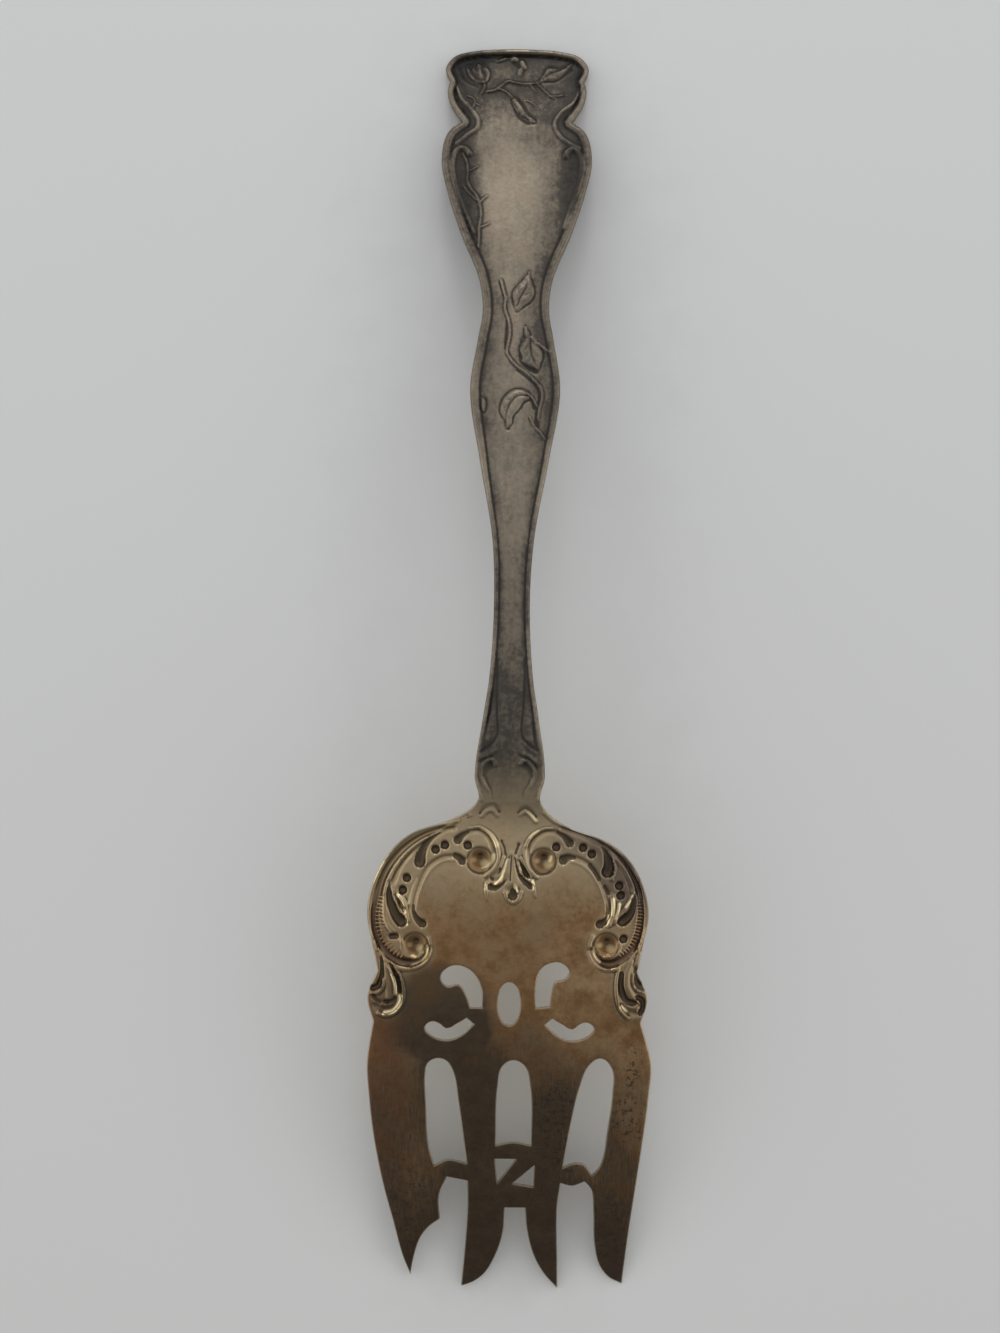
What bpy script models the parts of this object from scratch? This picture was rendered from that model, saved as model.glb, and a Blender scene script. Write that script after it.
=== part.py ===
"""Serving fork: a struck handle and a pierced, struck head, joined by a soldered scarf at the neck.

The fork lies back upward, as it does when set down on a table: the tine tips and the handle end touch
Z = 0 and the neck arches above. +Y runs from the tines to the handle end, X runs across, +Z is up.
Lengths below are in millimetres, and the meshes are made in metres.
"""
from math import ceil, cos, pi, radians, sin

import bmesh
import bpy
import numpy as np
from mathutils import Vector
from mathutils.geometry import delaunay_2d_cdt, interpolate_bezier

MM = 0.001

# Lengths along the fork, from where the scarf shows on the back
HANDLE_LENGTH = 135.0
HEAD_LENGTH = 90.0

# Widths of the handle, from the neck to the end
NECK_WIDTH = 10.5
NECK_SWELL_WIDTH = 11.9
STEM_WIDTH = 6.15
SWELL_WIDTH = 15.7
WAIST_WIDTH = 11.7
SHOULDER_WIDTH = 27.0
NOTCH_WIDTH = 19.8
END_WIDTH = 25.9
NICK_DEPTH = 0.85

# Widths of the head, from the neck to the tines
HEAD_SHOULDER_WIDTH = 48.5
SHOULDER_NOTCH_WIDTH = 44.9
EAR_WIDTH = 48.5
EAR_NOTCH_WIDTH = 46.6
TINE_SPAN = 49.7
SHOULDER_SKEW = 0.6

# Height of the back above the table, and its slope, at the tips, the crest of the arch and the end
TIP_HEIGHT = 0.75
TIP_SLOPE = 0.46
CREST_HEIGHT = 23.5
CREST_PLACE = 14.5
END_HEIGHT = 1.95
END_SLOPE = -0.15

# How far the sides of the head droop below its centre line
SHOULDER_DROOP = 2.2
TIP_DROOP = 1.3
DROOP_RUN = 12.0

# Thickness of the metal
TIP_THICKNESS = 1.1
PLATE_THICKNESS = 1.35
NECK_THICKNESS = 2.6
STEM_THICKNESS = 4.0
SWELL_THICKNESS = 2.9
END_THICKNESS = 2.7

# Raised border of the handle: a rounded rim, a groove inside it and a sunk field
RIM_WIDTH = 1.35
RIM_SHARE_OF_HALF_WIDTH = 0.3
RIM_ROUNDING = 0.5
GROOVE_DEPTH = 0.55
FIELD_DEPTH = 0.35
FIELD_CROWN = 0.3
BORDER_START = 6.0
BORDER_RUN = 10.0

# Scrollwork struck into the head from the back: lines taper from their root to their full width
FLUTE_ROOT = 1.4
FLUTE_WIDTH = 3.2
FLUTE_DEPTH = 0.75
SCROLL_ROOT = 0.9
SCROLL_WIDTH = 1.7
SCROLL_DEPTH = 0.5
LEAF_ROOT = 0.9
LEAF_WIDTH = 2.2
LEAF_DEPTH = 0.6
UPPER_CUP_DIAMETER = 4.0
LOWER_CUP_DIAMETER = 5.0
EAR_CUP_DIAMETER = 4.4
CUP_DEPTH = 0.8

# Scrolls raised on the handle inside its border
CURL_ROOT = 0.7
CURL_WIDTH = 1.5
CURL_HEIGHT = 0.4

# Scarf joint: the head's tongue runs under the handle, with a film of solder between
SCARF_LENGTH = 5.0
SCARF_MARGIN = 1.6
SOLDER_FILM = 0.2
SOLDER_CLEARANCE = 0.05

# Fineness of the meshes
EDGE_STEP = 1.2
HOLE_STEP = 0.95
ROW_STEP = 0.9
ROW_CLEARANCE = 0.42
PLATE_FILL = 2.4
SCROLL_FILL = 1.25
HANDLE_STEP = 1.4
HANDLE_FILL = 2.6

CORNER = "corner"
END_LOBE = 0.971
SEAM_Y = HEAD_LENGTH - (HEAD_LENGTH + HANDLE_LENGTH) / 2
END_Y = SEAM_Y + HANDLE_LENGTH
TIP_Y = SEAM_Y - HEAD_LENGTH


def mix(start, end, share):
    return start + (end - start) * share


def ease(share):
    """Smooth step from 0 to 1."""
    share = np.clip(share, 0.0, 1.0)
    return share * share * (3.0 - 2.0 * share)


def on_handle(along, width, *kind):
    """Knot on the handle's side: share of the handle's length from the seam, and the full width there."""
    return (width / 2, SEAM_Y + along * HANDLE_LENGTH, *kind)


def on_head_side(along, width, *kind):
    """Knot on the head's side: share of the head's length from the seam, and the full width there."""
    return (width / 2, SEAM_Y - along * HEAD_LENGTH, *kind)


def on_head(across, along, *kind):
    """Knot on the head: percent of half the tine span, and percent of the head's length from the seam."""
    return (across / 100 * TINE_SPAN / 2, SEAM_Y - along / 100 * HEAD_LENGTH, *kind)


def mirrored(knots):
    return [(-knot[0], *knot[1:]) for knot in knots]


def handle_side():
    """Right side of the handle, from the neck to the middle of the end."""
    return [
        on_handle(0.003, NECK_WIDTH),
        on_handle(0.030, NECK_SWELL_WIDTH),
        on_handle(0.104, mix(NECK_SWELL_WIDTH, STEM_WIDTH, 0.41)),
        on_handle(0.156, mix(NECK_SWELL_WIDTH, STEM_WIDTH, 0.77)),
        on_handle(0.245, STEM_WIDTH),
        on_handle(0.333, mix(STEM_WIDTH, SWELL_WIDTH, 0.11)),
        on_handle(0.437, mix(STEM_WIDTH, SWELL_WIDTH, 0.62)),
        on_handle(0.528, SWELL_WIDTH),
        on_handle(0.595, mix(SWELL_WIDTH, WAIST_WIDTH, 0.6)),
        on_handle(0.635, WAIST_WIDTH),
        on_handle(0.677, mix(WAIST_WIDTH, SHOULDER_WIDTH, 0.085)),
        on_handle(0.743, mix(WAIST_WIDTH, SHOULDER_WIDTH, 0.535)),
        on_handle(0.800, mix(WAIST_WIDTH, SHOULDER_WIDTH, 0.855)),
        on_handle(0.844, SHOULDER_WIDTH),
        on_handle(0.883, mix(SHOULDER_WIDTH, NOTCH_WIDTH, 0.33)),
        on_handle(0.8975, NOTCH_WIDTH, CORNER),
        on_handle(0.920, mix(NOTCH_WIDTH, END_WIDTH, 0.65)),
        on_handle(0.940, mix(NOTCH_WIDTH, END_WIDTH, 0.87)),
        on_handle(0.955, END_WIDTH - 2 * NICK_DEPTH, CORNER),
        on_handle(END_LOBE, END_WIDTH),
        on_handle(0.989, END_WIDTH * 0.88),
        on_handle(0.9965, END_WIDTH * 0.64),
        on_handle(1.0, END_WIDTH * 0.25),
    ]


def head_side():
    """Right side of the head, from the neck down to the shoulder of the outer tine."""
    return [
        on_head_side(0.013, mix(NECK_WIDTH, HEAD_SHOULDER_WIDTH, 0.055)),
        on_head_side(0.038, mix(NECK_WIDTH, HEAD_SHOULDER_WIDTH, 0.24)),
        on_head_side(0.071, mix(NECK_WIDTH, HEAD_SHOULDER_WIDTH, 0.62)),
        on_head_side(0.103, mix(NECK_WIDTH, HEAD_SHOULDER_WIDTH, 0.80)),
        on_head_side(0.150, mix(NECK_WIDTH, HEAD_SHOULDER_WIDTH, 0.93)),
        on_head_side(0.214, HEAD_SHOULDER_WIDTH),
        on_head_side(0.272, mix(HEAD_SHOULDER_WIDTH, SHOULDER_NOTCH_WIDTH, 0.45)),
        on_head_side(0.329, SHOULDER_NOTCH_WIDTH, CORNER),
        on_head_side(0.382, EAR_WIDTH),
        on_head_side(0.430, EAR_NOTCH_WIDTH, CORNER),
        on_head_side(0.517, TINE_SPAN),
        on_head_side(0.578, TINE_SPAN * 0.99),
        on_head_side(0.656, TINE_SPAN * 0.964),
    ]


def tine_ends():
    """Free edges of the four tines and of the bars between them, from left to right."""
    barbed_tine = [
        on_head(-90.1, 76.1),
        on_head(-82.1, 85.6),
        on_head(-76.3, 92.6),
        on_head(-70.4, 97.3, CORNER),
        on_head(-68.4, 93.9),
        on_head(-62.4, 88.4),
        on_head(-55.9, 85.9),
        on_head(-48.7, 84.3, CORNER),
        on_head(-49.1, 79.0),
        on_head(-43.5, 75.0, CORNER),
    ]
    left_inner_tine = [
        on_head(-29.0, 75.8, CORNER),
        on_head(-28.8, 81.1),
        on_head(-30.6, 90.0),
        on_head(-33.4, 99.6, CORNER),
        on_head(-25.4, 98.7),
        on_head(-16.5, 96.6),
        on_head(-8.0, 92.0),
        on_head(-3.2, 87.2),
        on_head(-2.0, 81.6, CORNER),
    ]
    right_inner_tine = [
        on_head(12.5, 81.6, CORNER),
        on_head(14.1, 86.7),
        on_head(19.3, 92.4),
        on_head(26.6, 96.4),
        on_head(37.0, 100.0, CORNER),
        on_head(36.6, 94.4),
        on_head(35.8, 81.0),
        on_head(37.8, 76.2, CORNER),
    ]
    right_outer_tine = [
        on_head(45.9, 76.8),
        on_head(54.7, 75.9, CORNER),
        on_head(59.6, 77.6),
        on_head(61.6, 82.2),
        on_head(63.2, 90.0),
        on_head(67.6, 94.9),
        on_head(75.7, 97.8),
        on_head(84.3, 99.0, CORNER),
        on_head(86.1, 92.8),
        on_head(88.3, 86.1),
        on_head(92.4, 75.6),
    ]
    return barbed_tine + left_inner_tine + right_inner_tine + right_outer_tine


def piercings():
    """Knots of every opening sawn through the head, each a closed outline."""
    left_hook = [
        on_head(-47.9, 33.9),
        on_head(-41.9, 31.9),
        on_head(-33.4, 31.7),
        on_head(-24.9, 33.2),
        on_head(-19.7, 36.2),
        on_head(-19.3, 39.9, CORNER),
        on_head(-27.4, 39.9, CORNER),
        on_head(-30.6, 37.3),
        on_head(-35.8, 35.4),
        on_head(-43.5, 35.8),
    ]
    right_hook = [
        on_head(41.0, 32.8),
        on_head(35.4, 31.0),
        on_head(28.2, 31.0),
        on_head(21.3, 32.3),
        on_head(17.9, 36.2),
        on_head(18.5, 39.9, CORNER),
        on_head(27.8, 39.6, CORNER),
        on_head(29.0, 36.7),
        on_head(31.8, 34.6),
        on_head(37.8, 34.3),
    ]
    left_smile = [
        on_head(-59.0, 44.1),
        on_head(-53.9, 42.8),
        on_head(-48.3, 43.3),
        on_head(-43.9, 44.2),
        on_head(-37.4, 43.3),
        on_head(-29.8, 42.0, CORNER),
        on_head(-24.9, 43.2, CORNER),
        on_head(-33.0, 45.4),
        on_head(-42.7, 46.5),
        on_head(-53.1, 45.9),
    ]
    oval = [on_head(-0.4, 34.8), on_head(-8.3, 39.1), on_head(-0.4, 43.4), on_head(7.5, 39.1)]
    left_slot = [
        on_head(-49.9, 50.2),
        on_head(-56.7, 51.2),
        on_head(-58.8, 53.9),
        on_head(-58.4, 58.9),
        on_head(-56.3, 68.9),
        on_head(-52.7, 72.7, CORNER),
        on_head(-42.7, 71.3),
        on_head(-29.4, 72.1, CORNER),
        on_head(-35.8, 58.4),
        on_head(-39.0, 53.1),
        on_head(-43.5, 50.8),
    ]
    centre_slot = [
        on_head(3.2, 50.4),
        on_head(-4.4, 51.6),
        on_head(-7.6, 55.6),
        on_head(-8.9, 68.1, CORNER),
        on_head(3.6, 67.4),
        on_head(16.1, 68.1, CORNER),
        on_head(14.9, 55.6),
        on_head(10.9, 51.6),
    ]
    right_slot = [
        on_head(64.4, 50.1),
        on_head(56.7, 51.3),
        on_head(50.3, 55.6),
        on_head(44.3, 63.3),
        on_head(39.0, 72.9, CORNER),
        on_head(46.3, 72.0),
        on_head(53.5, 72.2),
        on_head(60.0, 74.6, CORNER),
        on_head(65.2, 72.8),
        on_head(70.4, 64.6),
        on_head(73.2, 57.1),
        on_head(72.4, 52.4),
    ]
    left_gusset = [
        on_head(-9.3, 71.0, CORNER),
        on_head(5.6, 71.0, CORNER),
        on_head(-7.6, 76.2, CORNER),
    ]
    right_gusset = [
        on_head(18.5, 72.4, CORNER),
        on_head(3.2, 76.3, CORNER),
        on_head(18.1, 77.0, CORNER),
    ]
    hooks_and_smiles = [left_hook, right_hook, left_smile, mirrored(left_smile)]
    return hooks_and_smiles + [oval, left_slot, centre_slot, right_slot, left_gusset, right_gusset]


def head_strokes():
    """Sunk lines of the scrollwork on the left half of the head: (knots, root, width, depth)."""
    outer_flute = [
        on_head(-28.2, 3.9),
        on_head(-48.7, 6.2),
        on_head(-68.0, 9.6),
        on_head(-81.3, 13.9),
        on_head(-88.9, 18.6),
        on_head(-91.6, 23.0),
        on_head(-88.5, 28.2),
        on_head(-80.1, 31.2),
        on_head(-69.2, 31.9),
        on_head(-59.6, 30.6),
        on_head(-56.3, 28.3),
    ]
    upper_volute = [
        on_head(-38.6, 6.8),
        on_head(-33.0, 5.6),
        on_head(-26.2, 5.2),
        on_head(-18.5, 6.0),
        on_head(-12.5, 8.2),
        on_head(-11.3, 11.2),
        on_head(-16.5, 13.8),
    ]
    inner_scroll = [
        on_head(-35.4, 10.8),
        on_head(-41.4, 10.1),
        on_head(-48.7, 10.6),
        on_head(-57.5, 12.8),
        on_head(-64.4, 15.9),
        on_head(-68.0, 19.9),
        on_head(-66.4, 22.2),
        on_head(-61.2, 23.4),
    ]
    palmette_leaf = [on_head(-4.5, 7.6), on_head(-6.5, 12.5), on_head(-13.0, 15.6)]
    palmette_drop = [on_head(0.0, 7.0), on_head(0.0, 16.6)]
    upper_leaf = [on_head(-58.4, 8.2), on_head(-63.4, 12.6)]
    lower_leaf = [on_head(-83.3, 16.4), on_head(-80.5, 20.3), on_head(-74.8, 23.6)]
    ear_leaf = [on_head(-86.5, 31.6), on_head(-83.0, 34.6), on_head(-81.5, 37.6)]
    flutes = [(outer_flute, FLUTE_ROOT, FLUTE_WIDTH, FLUTE_DEPTH)]
    scrolls = [(line, SCROLL_ROOT, SCROLL_WIDTH, SCROLL_DEPTH) for line in (upper_volute, inner_scroll)]
    leaves = [palmette_leaf, palmette_drop, upper_leaf, lower_leaf, ear_leaf]
    return flutes + scrolls + [(line, LEAF_ROOT, LEAF_WIDTH, LEAF_DEPTH) for line in leaves]


def head_cups():
    """Round hollows on the left half of the head, as ([centre], diameter)."""
    return [
        ([on_head(-21.3, 10.7)], UPPER_CUP_DIAMETER),
        ([on_head(-67.2, 28.1)], LOWER_CUP_DIAMETER),
        ([on_head(-87.0, 38.6)], EAR_CUP_DIAMETER),
    ]


def handle_strokes():
    """Raised lines inside the border of the handle, on its left half: (knots, root, width, height)."""
    shoulder_scroll = [
        on_handle(0.718, mix(-WAIST_WIDTH, -SHOULDER_WIDTH, 0.04)),
        on_handle(0.760, mix(-WAIST_WIDTH, -SHOULDER_WIDTH, 0.31)),
        on_handle(0.800, mix(-WAIST_WIDTH, -SHOULDER_WIDTH, 0.54)),
        on_handle(0.831, -SHOULDER_WIDTH * 0.79),
        on_handle(0.853, -SHOULDER_WIDTH * 0.78),
        on_handle(0.860, -SHOULDER_WIDTH * 0.70),
        on_handle(0.854, -SHOULDER_WIDTH * 0.62),
    ]
    neck_scroll = [
        on_handle(0.013, -NECK_WIDTH * 0.62),
        on_handle(0.028, -NECK_SWELL_WIDTH * 0.74),
        on_handle(0.044, -NECK_SWELL_WIDTH * 0.76),
        on_handle(0.053, -NECK_SWELL_WIDTH * 0.56),
        on_handle(0.046, -NECK_SWELL_WIDTH * 0.40),
    ]
    return [(line, CURL_ROOT, CURL_WIDTH, CURL_HEIGHT) for line in (shoulder_scroll, neck_scroll)]


def both_sides(features):
    return features + [(mirrored(knots), *sizes) for knots, *sizes in features]


def trace(knots, step, closed=False):
    """Points about one step apart on a smooth curve through the knots; CORNER knots stay sharp."""
    places = [Vector(knot[:2]) for knot in knots]
    count = len(places)
    sharp = {index for index, knot in enumerate(knots) if CORNER in knot}
    if not closed:
        sharp |= {0, count - 1}

    def handle(index, toward):
        """Bezier handle at one knot, on the side of a neighbouring knot."""
        reach = places[toward % count] - places[index]
        if index in sharp:
            return places[index] + reach / 3
        before = (places[index] - places[index - 1]).normalized()
        after = (places[(index + 1) % count] - places[index]).normalized()
        along = (before + after).normalized()
        if reach.dot(along) < 0:
            along = -along
        return places[index] + along * reach.length / 3

    points = []
    for index in range(count if closed else count - 1):
        ahead = (index + 1) % count
        parts = ceil((places[ahead] - places[index]).length / step)
        curve = interpolate_bezier(
            places[index], handle(index, index + 1), handle(ahead, index), places[ahead], parts + 1
        )
        points += [tuple(point[:2]) for point in curve[:-1]]
    if not closed:
        points.append(tuple(places[-1]))
    return np.array(points)


def stray(y):
    """How far the real fork strays to the left of a straight line, most at the head's shoulders."""
    places = [SEAM_Y - share * HEAD_LENGTH for share in (0.494, 0.43, 0.083)]
    places += [SEAM_Y + share * HANDLE_LENGTH for share in (0.0, 0.055, 0.256, 0.352, 0.61, 1.0)]
    return np.interp(y, places, (0.0, 0.42, 0.45, 0.38, 0.26, 0.2, 0.0, -0.15, -0.12))


def skew(y, side):
    """How far the head's right shoulder (side 1) lies lower, or its left one (side -1) higher, than their mean."""
    down = (SEAM_Y - y) / HEAD_LENGTH
    shares = (0.0, 0.6, 1.2, 0.85, 0.5, 0.2, 0.0) if side > 0 else (0.0, 0.2, 0.55, 1.0, 0.5, 0.15, 0.0)
    return SHOULDER_SKEW * np.interp(down, (0.0, 0.013, 0.038, 0.071, 0.103, 0.15, 0.214), shares)


def settled(knots, side):
    """Knots of one side, 1 for right and -1 for left, moved as the real fork departs from symmetry."""
    return [(side * x - stray(y), y - side * skew(y, side), *kind) for x, y, *kind in knots]


def fork_outline(step):
    """Closed outline of the whole fork, counter-clockwise from the middle of the handle end."""
    down = list(reversed(handle_side())) + head_side()
    return trace(settled(down, -1) + tine_ends() + settled(down[::-1], 1), step, closed=True)


def segments(path, closed):
    ends = np.roll(path, -1, axis=0) if closed else path[1:]
    starts = path if closed else path[:-1]
    return starts, ends


def nearest(points, path, closed=False):
    """Shortest distance from each point to a path, and the share of the path's length where it lies."""
    starts, ends = segments(path, closed)
    along = ends - starts
    lengths = np.hypot(along[:, 0], along[:, 1])
    offset = points[:, None, :] - starts[None, :, :]
    share = np.clip((offset * along).sum(2) / np.maximum(lengths**2, 1e-12), 0.0, 1.0)
    gaps = offset - share[:, :, None] * along
    away = np.hypot(gaps[:, :, 0], gaps[:, :, 1])
    place = (np.cumsum(lengths) - lengths + share * lengths) / lengths.sum()
    rows, first = np.arange(len(points)), away.argmin(1)
    return away[rows, first], place[rows, first]


def distance(points, path, closed=False):
    return nearest(points, path, closed)[0]


def inside(points, loops):
    """Which points lie within the first loop and outside the others."""
    crossings = np.zeros(len(points), dtype=int)
    x, y = points[:, 0, None], points[:, 1, None]
    for loop in loops:
        starts, ends = segments(loop, closed=True)
        spans = (starts[:, 1] > y) != (ends[:, 1] > y)
        rise = np.where(ends[:, 1] == starts[:, 1], 1.0, ends[:, 1] - starts[:, 1])
        crossing_x = starts[:, 0] + (y - starts[:, 1]) * (ends[:, 0] - starts[:, 0]) / rise
        crossings += (spans & (x < crossing_x)).sum(1)
    return crossings % 2 == 1


OUTLINE = fork_outline(EDGE_STEP)
SIDE = trace(list(reversed(head_side())) + handle_side(), EDGE_STEP)


def hermite(y, start, end):
    """Cubic between two (place, height, slope) knots."""
    run = end[0] - start[0]
    t = (y - start[0]) / run
    rise = (2 * t**3 - 3 * t**2 + 1) * start[1] + (3 * t**2 - 2 * t**3) * end[1]
    return rise + ((t**3 - 2 * t**2 + t) * start[2] + (t**3 - t**2) * end[2]) * run


def spine(y):
    """Height of the back along the centre line."""
    tip = (TIP_Y, TIP_HEIGHT, TIP_SLOPE)
    crest = (SEAM_Y + CREST_PLACE, CREST_HEIGHT, 0.0)
    end = (END_Y, END_HEIGHT, END_SLOPE)
    return np.where(y < crest[0], hermite(y, tip, crest), hermite(y, crest, end))


def thickness(y):
    """Thickness of the stock, eased between its stations."""
    stations = [
        (TIP_Y, TIP_THICKNESS),
        (SEAM_Y - 0.80 * HEAD_LENGTH, PLATE_THICKNESS),
        (SEAM_Y - 0.16 * HEAD_LENGTH, PLATE_THICKNESS),
        (SEAM_Y, NECK_THICKNESS),
        (SEAM_Y + 0.05 * HANDLE_LENGTH, NECK_THICKNESS),
        (SEAM_Y + 0.245 * HANDLE_LENGTH, STEM_THICKNESS),
        (SEAM_Y + 0.528 * HANDLE_LENGTH, SWELL_THICKNESS),
        (END_Y, END_THICKNESS),
    ]
    result = np.full(len(y), TIP_THICKNESS)
    for (start, low), (end, high) in zip(stations, stations[1:]):
        result = result + (high - low) * ease((y - start) / (end - start))
    return result


def droop(points):
    """How far the head's sides fall below its centre line."""
    down = (SEAM_Y - points[:, 1]) / HEAD_LENGTH
    share = ease(down * HEAD_LENGTH / DROOP_RUN)
    return share * mix(SHOULDER_DROOP, TIP_DROOP, down) * (2 * points[:, 0] / TINE_SPAN) ** 2


def half_width(y):
    """Half the fork's width, without the rounded corners of the handle end."""
    straight = SIDE[SIDE[:, 1] < SEAM_Y + END_LOBE * HANDLE_LENGTH]
    return np.interp(y, straight[:, 1], straight[:, 0])


def rim_width(y):
    """Width of the handle's border, narrower where the handle is slim."""
    return np.minimum(RIM_WIDTH, RIM_SHARE_OF_HALF_WIDTH * half_width(y))


RIM_STATIONS = (0.0, 0.5, 1.2, 1.7)


def border(points):
    """Relief of the handle's border and field, zero at the crest of the rim."""
    depth = distance(points, OUTLINE, closed=True)
    width = rim_width(points[:, 1])
    levels = (-RIM_ROUNDING, 0.0, -GROOVE_DEPTH, -FIELD_DEPTH)
    relief = np.interp(depth / width, RIM_STATIONS, levels)
    field = np.clip((depth - RIM_STATIONS[-1] * width) / half_width(points[:, 1]), 0.0, 1.0)
    relief = relief + FIELD_CROWN * (2 * field - field * field)
    return relief * ease((points[:, 1] - SEAM_Y - BORDER_START) / BORDER_RUN)


def stroke_relief(points, strokes):
    """Deepest of the rounded, tapered strokes at each point."""
    relief = np.zeros(len(points))
    for knots, root, width, depth in strokes:
        away, share = nearest(points, trace(knots, ROW_STEP))
        reach = mix(root, width, share)
        relief = np.maximum(relief, depth * reach / width * (1 - ease(2 * away / reach)))
    return relief


def cup_relief(points, cups):
    """Deepest of the round hollows at each point."""
    relief = np.zeros(len(points))
    for (centre,), diameter in cups:
        away = np.hypot(points[:, 0] - centre[0], points[:, 1] - centre[1])
        relief = np.maximum(relief, CUP_DEPTH * np.clip(1 - (2 * away / diameter) ** 2, 0.0, 1.0))
    return relief


def struck(points):
    """Depth of the scrollwork struck into the head from its back."""
    lines = stroke_relief(points, both_sides(head_strokes()))
    return np.maximum(lines, cup_relief(points, both_sides(head_cups())))


def back(points):
    """Height of the fork's back, the side that lies upward."""
    relief = border(points) + stroke_relief(points, both_sides(handle_strokes()))
    return spine(points[:, 1]) - droop(points) + relief - struck(points)


def front(points):
    """Height of the fork's front, worn flat where it stands on the table."""
    relief = border(points) + stroke_relief(points, both_sides(handle_strokes()))
    surface = spine(points[:, 1]) - droop(points) - thickness(points[:, 1]) - relief - struck(points)
    return np.maximum(surface, 0.0)


def far_from(points, others, clear):
    gaps = points[:, None, :] - others[None, :, :]
    return (gaps * gaps).sum(2).min(1) > clear * clear


def honeycomb(loop, spacing):
    """Staggered grid of points over a loop's box."""
    low, high = loop.min(0), loop.max(0)
    rows = np.arange(low[1], high[1], spacing * 0.866)
    columns = np.arange(low[0], high[0] + spacing, spacing)
    shift = np.where(np.arange(len(rows)) % 2, spacing / 2, 0.0)
    return np.stack([(columns[None, :] + shift[:, None]).ravel(), np.repeat(rows, len(columns))], axis=1)


def ring(centre, diameter, step):
    count = max(6, ceil(pi * diameter / step))
    angles = [2 * pi * turn / count for turn in range(count)]
    return np.array([(centre[0] + diameter / 2 * cos(a), centre[1] + diameter / 2 * sin(a)) for a in angles])


def beside(path, offset):
    """Path shifted sideways, to the left of its direction when the offset is positive."""
    run = np.gradient(path, axis=0)
    normal = np.stack([-run[:, 1], run[:, 0]], axis=1) / np.hypot(run[:, 0], run[:, 1])[:, None]
    return path + normal * np.reshape(offset, (-1, 1))


def stroke_rows(strokes):
    """Point rows along the middle and both edges of each stroke."""
    rows = []
    for knots, root, width, _ in strokes:
        path = trace(knots, ROW_STEP)
        reach = np.linspace(root, width, len(path)) / 2
        rows += [path, beside(path, reach), beside(path, -reach)]
    return rows


def cup_rows(cups):
    """Point rings in each round hollow, with its centre."""
    rows = []
    for (centre,), diameter in cups:
        rows += [np.array([centre]), ring(centre, diameter * 0.55, ROW_STEP), ring(centre, diameter, ROW_STEP)]
    return rows


def plan_points(loops, rows, fills):
    """Points of the flat plan: the loops, the rows where they are clear of others, and even fills."""
    points = np.concatenate(loops)
    for row in rows:
        row = row[inside(row, loops)]
        if len(row):
            points = np.concatenate([points, row[far_from(row, points, ROW_CLEARANCE)]])
    for fill, spacing in fills:
        fill = fill[inside(fill, loops)]
        points = np.concatenate([points, fill[far_from(fill, points, 0.62 * spacing)]])
    return points


def struck_body(loops, rows, fills):
    """Closed mesh between the fork's back and front, over a plan with holes."""
    points = plan_points(loops, rows, fills)
    edges, first = [], 0
    for loop in loops:
        edges += [(first + i, first + (i + 1) % len(loop)) for i in range(len(loop))]
        first += len(loop)
    flat = delaunay_2d_cdt([Vector(point) for point in points], edges, [], 0, 1e-6)
    places = np.array([tuple(vertex) for vertex in flat[0]])
    faces = np.array(flat[2])
    faces = faces[inside(places[faces].mean(1), loops)]
    corner = places[faces]
    area = np.cross(corner[:, 1] - corner[:, 0], corner[:, 2] - corner[:, 0])
    faces = np.where(area[:, None] < 0, faces[:, ::-1], faces)

    body = bmesh.new()
    layers = []
    for height in (back(places), front(places)):
        layers.append([body.verts.new((x * MM, y * MM, z * MM)) for (x, y), z in zip(places, height)])
    upper, lower = layers
    sides = {(a, b) for face in faces.tolist() for a, b in zip(face, face[1:] + face[:1])}
    for a, b, c in faces.tolist():
        body.faces.new((upper[a], upper[b], upper[c]))
        body.faces.new((lower[c], lower[b], lower[a]))
    for a, b in sides:
        if (b, a) not in sides:
            body.faces.new((upper[b], upper[a], lower[a]))
            body.faces.new((upper[b], lower[a], lower[b]))
    loose = [vertex for vertex in body.verts if not vertex.link_faces]
    bmesh.ops.delete(body, geom=loose, context="VERTS")
    return body


def cut(body, offset, keep_above):
    """Trim a body at a plane parallel to the scarf, `offset` above its middle, and close the cut."""
    seam = np.array([[0.0, SEAM_Y], [0.0, SEAM_Y + SCARF_LENGTH]])
    start = Vector((0.0, SEAM_Y, back(seam)[0])) * MM
    finish = Vector((0.0, SEAM_Y + SCARF_LENGTH, front(seam)[1])) * MM
    normal = Vector((1.0, 0.0, 0.0)).cross(finish - start).normalized()
    bmesh.ops.bisect_plane(
        body,
        geom=body.verts[:] + body.edges[:] + body.faces[:],
        plane_co=start + normal * offset * MM,
        plane_no=normal,
        clear_inner=keep_above,
        clear_outer=not keep_above,
    )
    rim = [edge for edge in body.edges if edge.is_boundary]
    bmesh.ops.triangle_fill(body, edges=rim, use_beauty=True)
    bmesh.ops.recalc_face_normals(body, faces=body.faces)
    return body


def handle_loop(step):
    outline = fork_outline(step)
    return outline[outline[:, 1] > SEAM_Y - SCARF_MARGIN]


def head_loop():
    return OUTLINE[OUTLINE[:, 1] < SEAM_Y + SCARF_LENGTH + SCARF_MARGIN]


def border_rows(loop):
    """Point rows along the rim's crest, the groove and the edge of the field."""
    rows = []
    for station in RIM_STATIONS[1:]:
        row = beside(loop, station * rim_width(loop[:, 1]))
        clear = distance(row, OUTLINE, closed=True) > 0.9 * station * rim_width(row[:, 1])
        rows.append(row[clear])
    return rows


def handle():
    """Handle, struck from thick stock, thinned to a scarf at the neck."""
    loop = handle_loop(HANDLE_STEP)
    rows = stroke_rows(both_sides(handle_strokes())) + border_rows(loop)
    fills = [(honeycomb(loop, HANDLE_FILL), HANDLE_FILL)]
    return cut(struck_body([loop], rows, fills), SOLDER_FILM / 2 + SOLDER_CLEARANCE, True)


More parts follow.
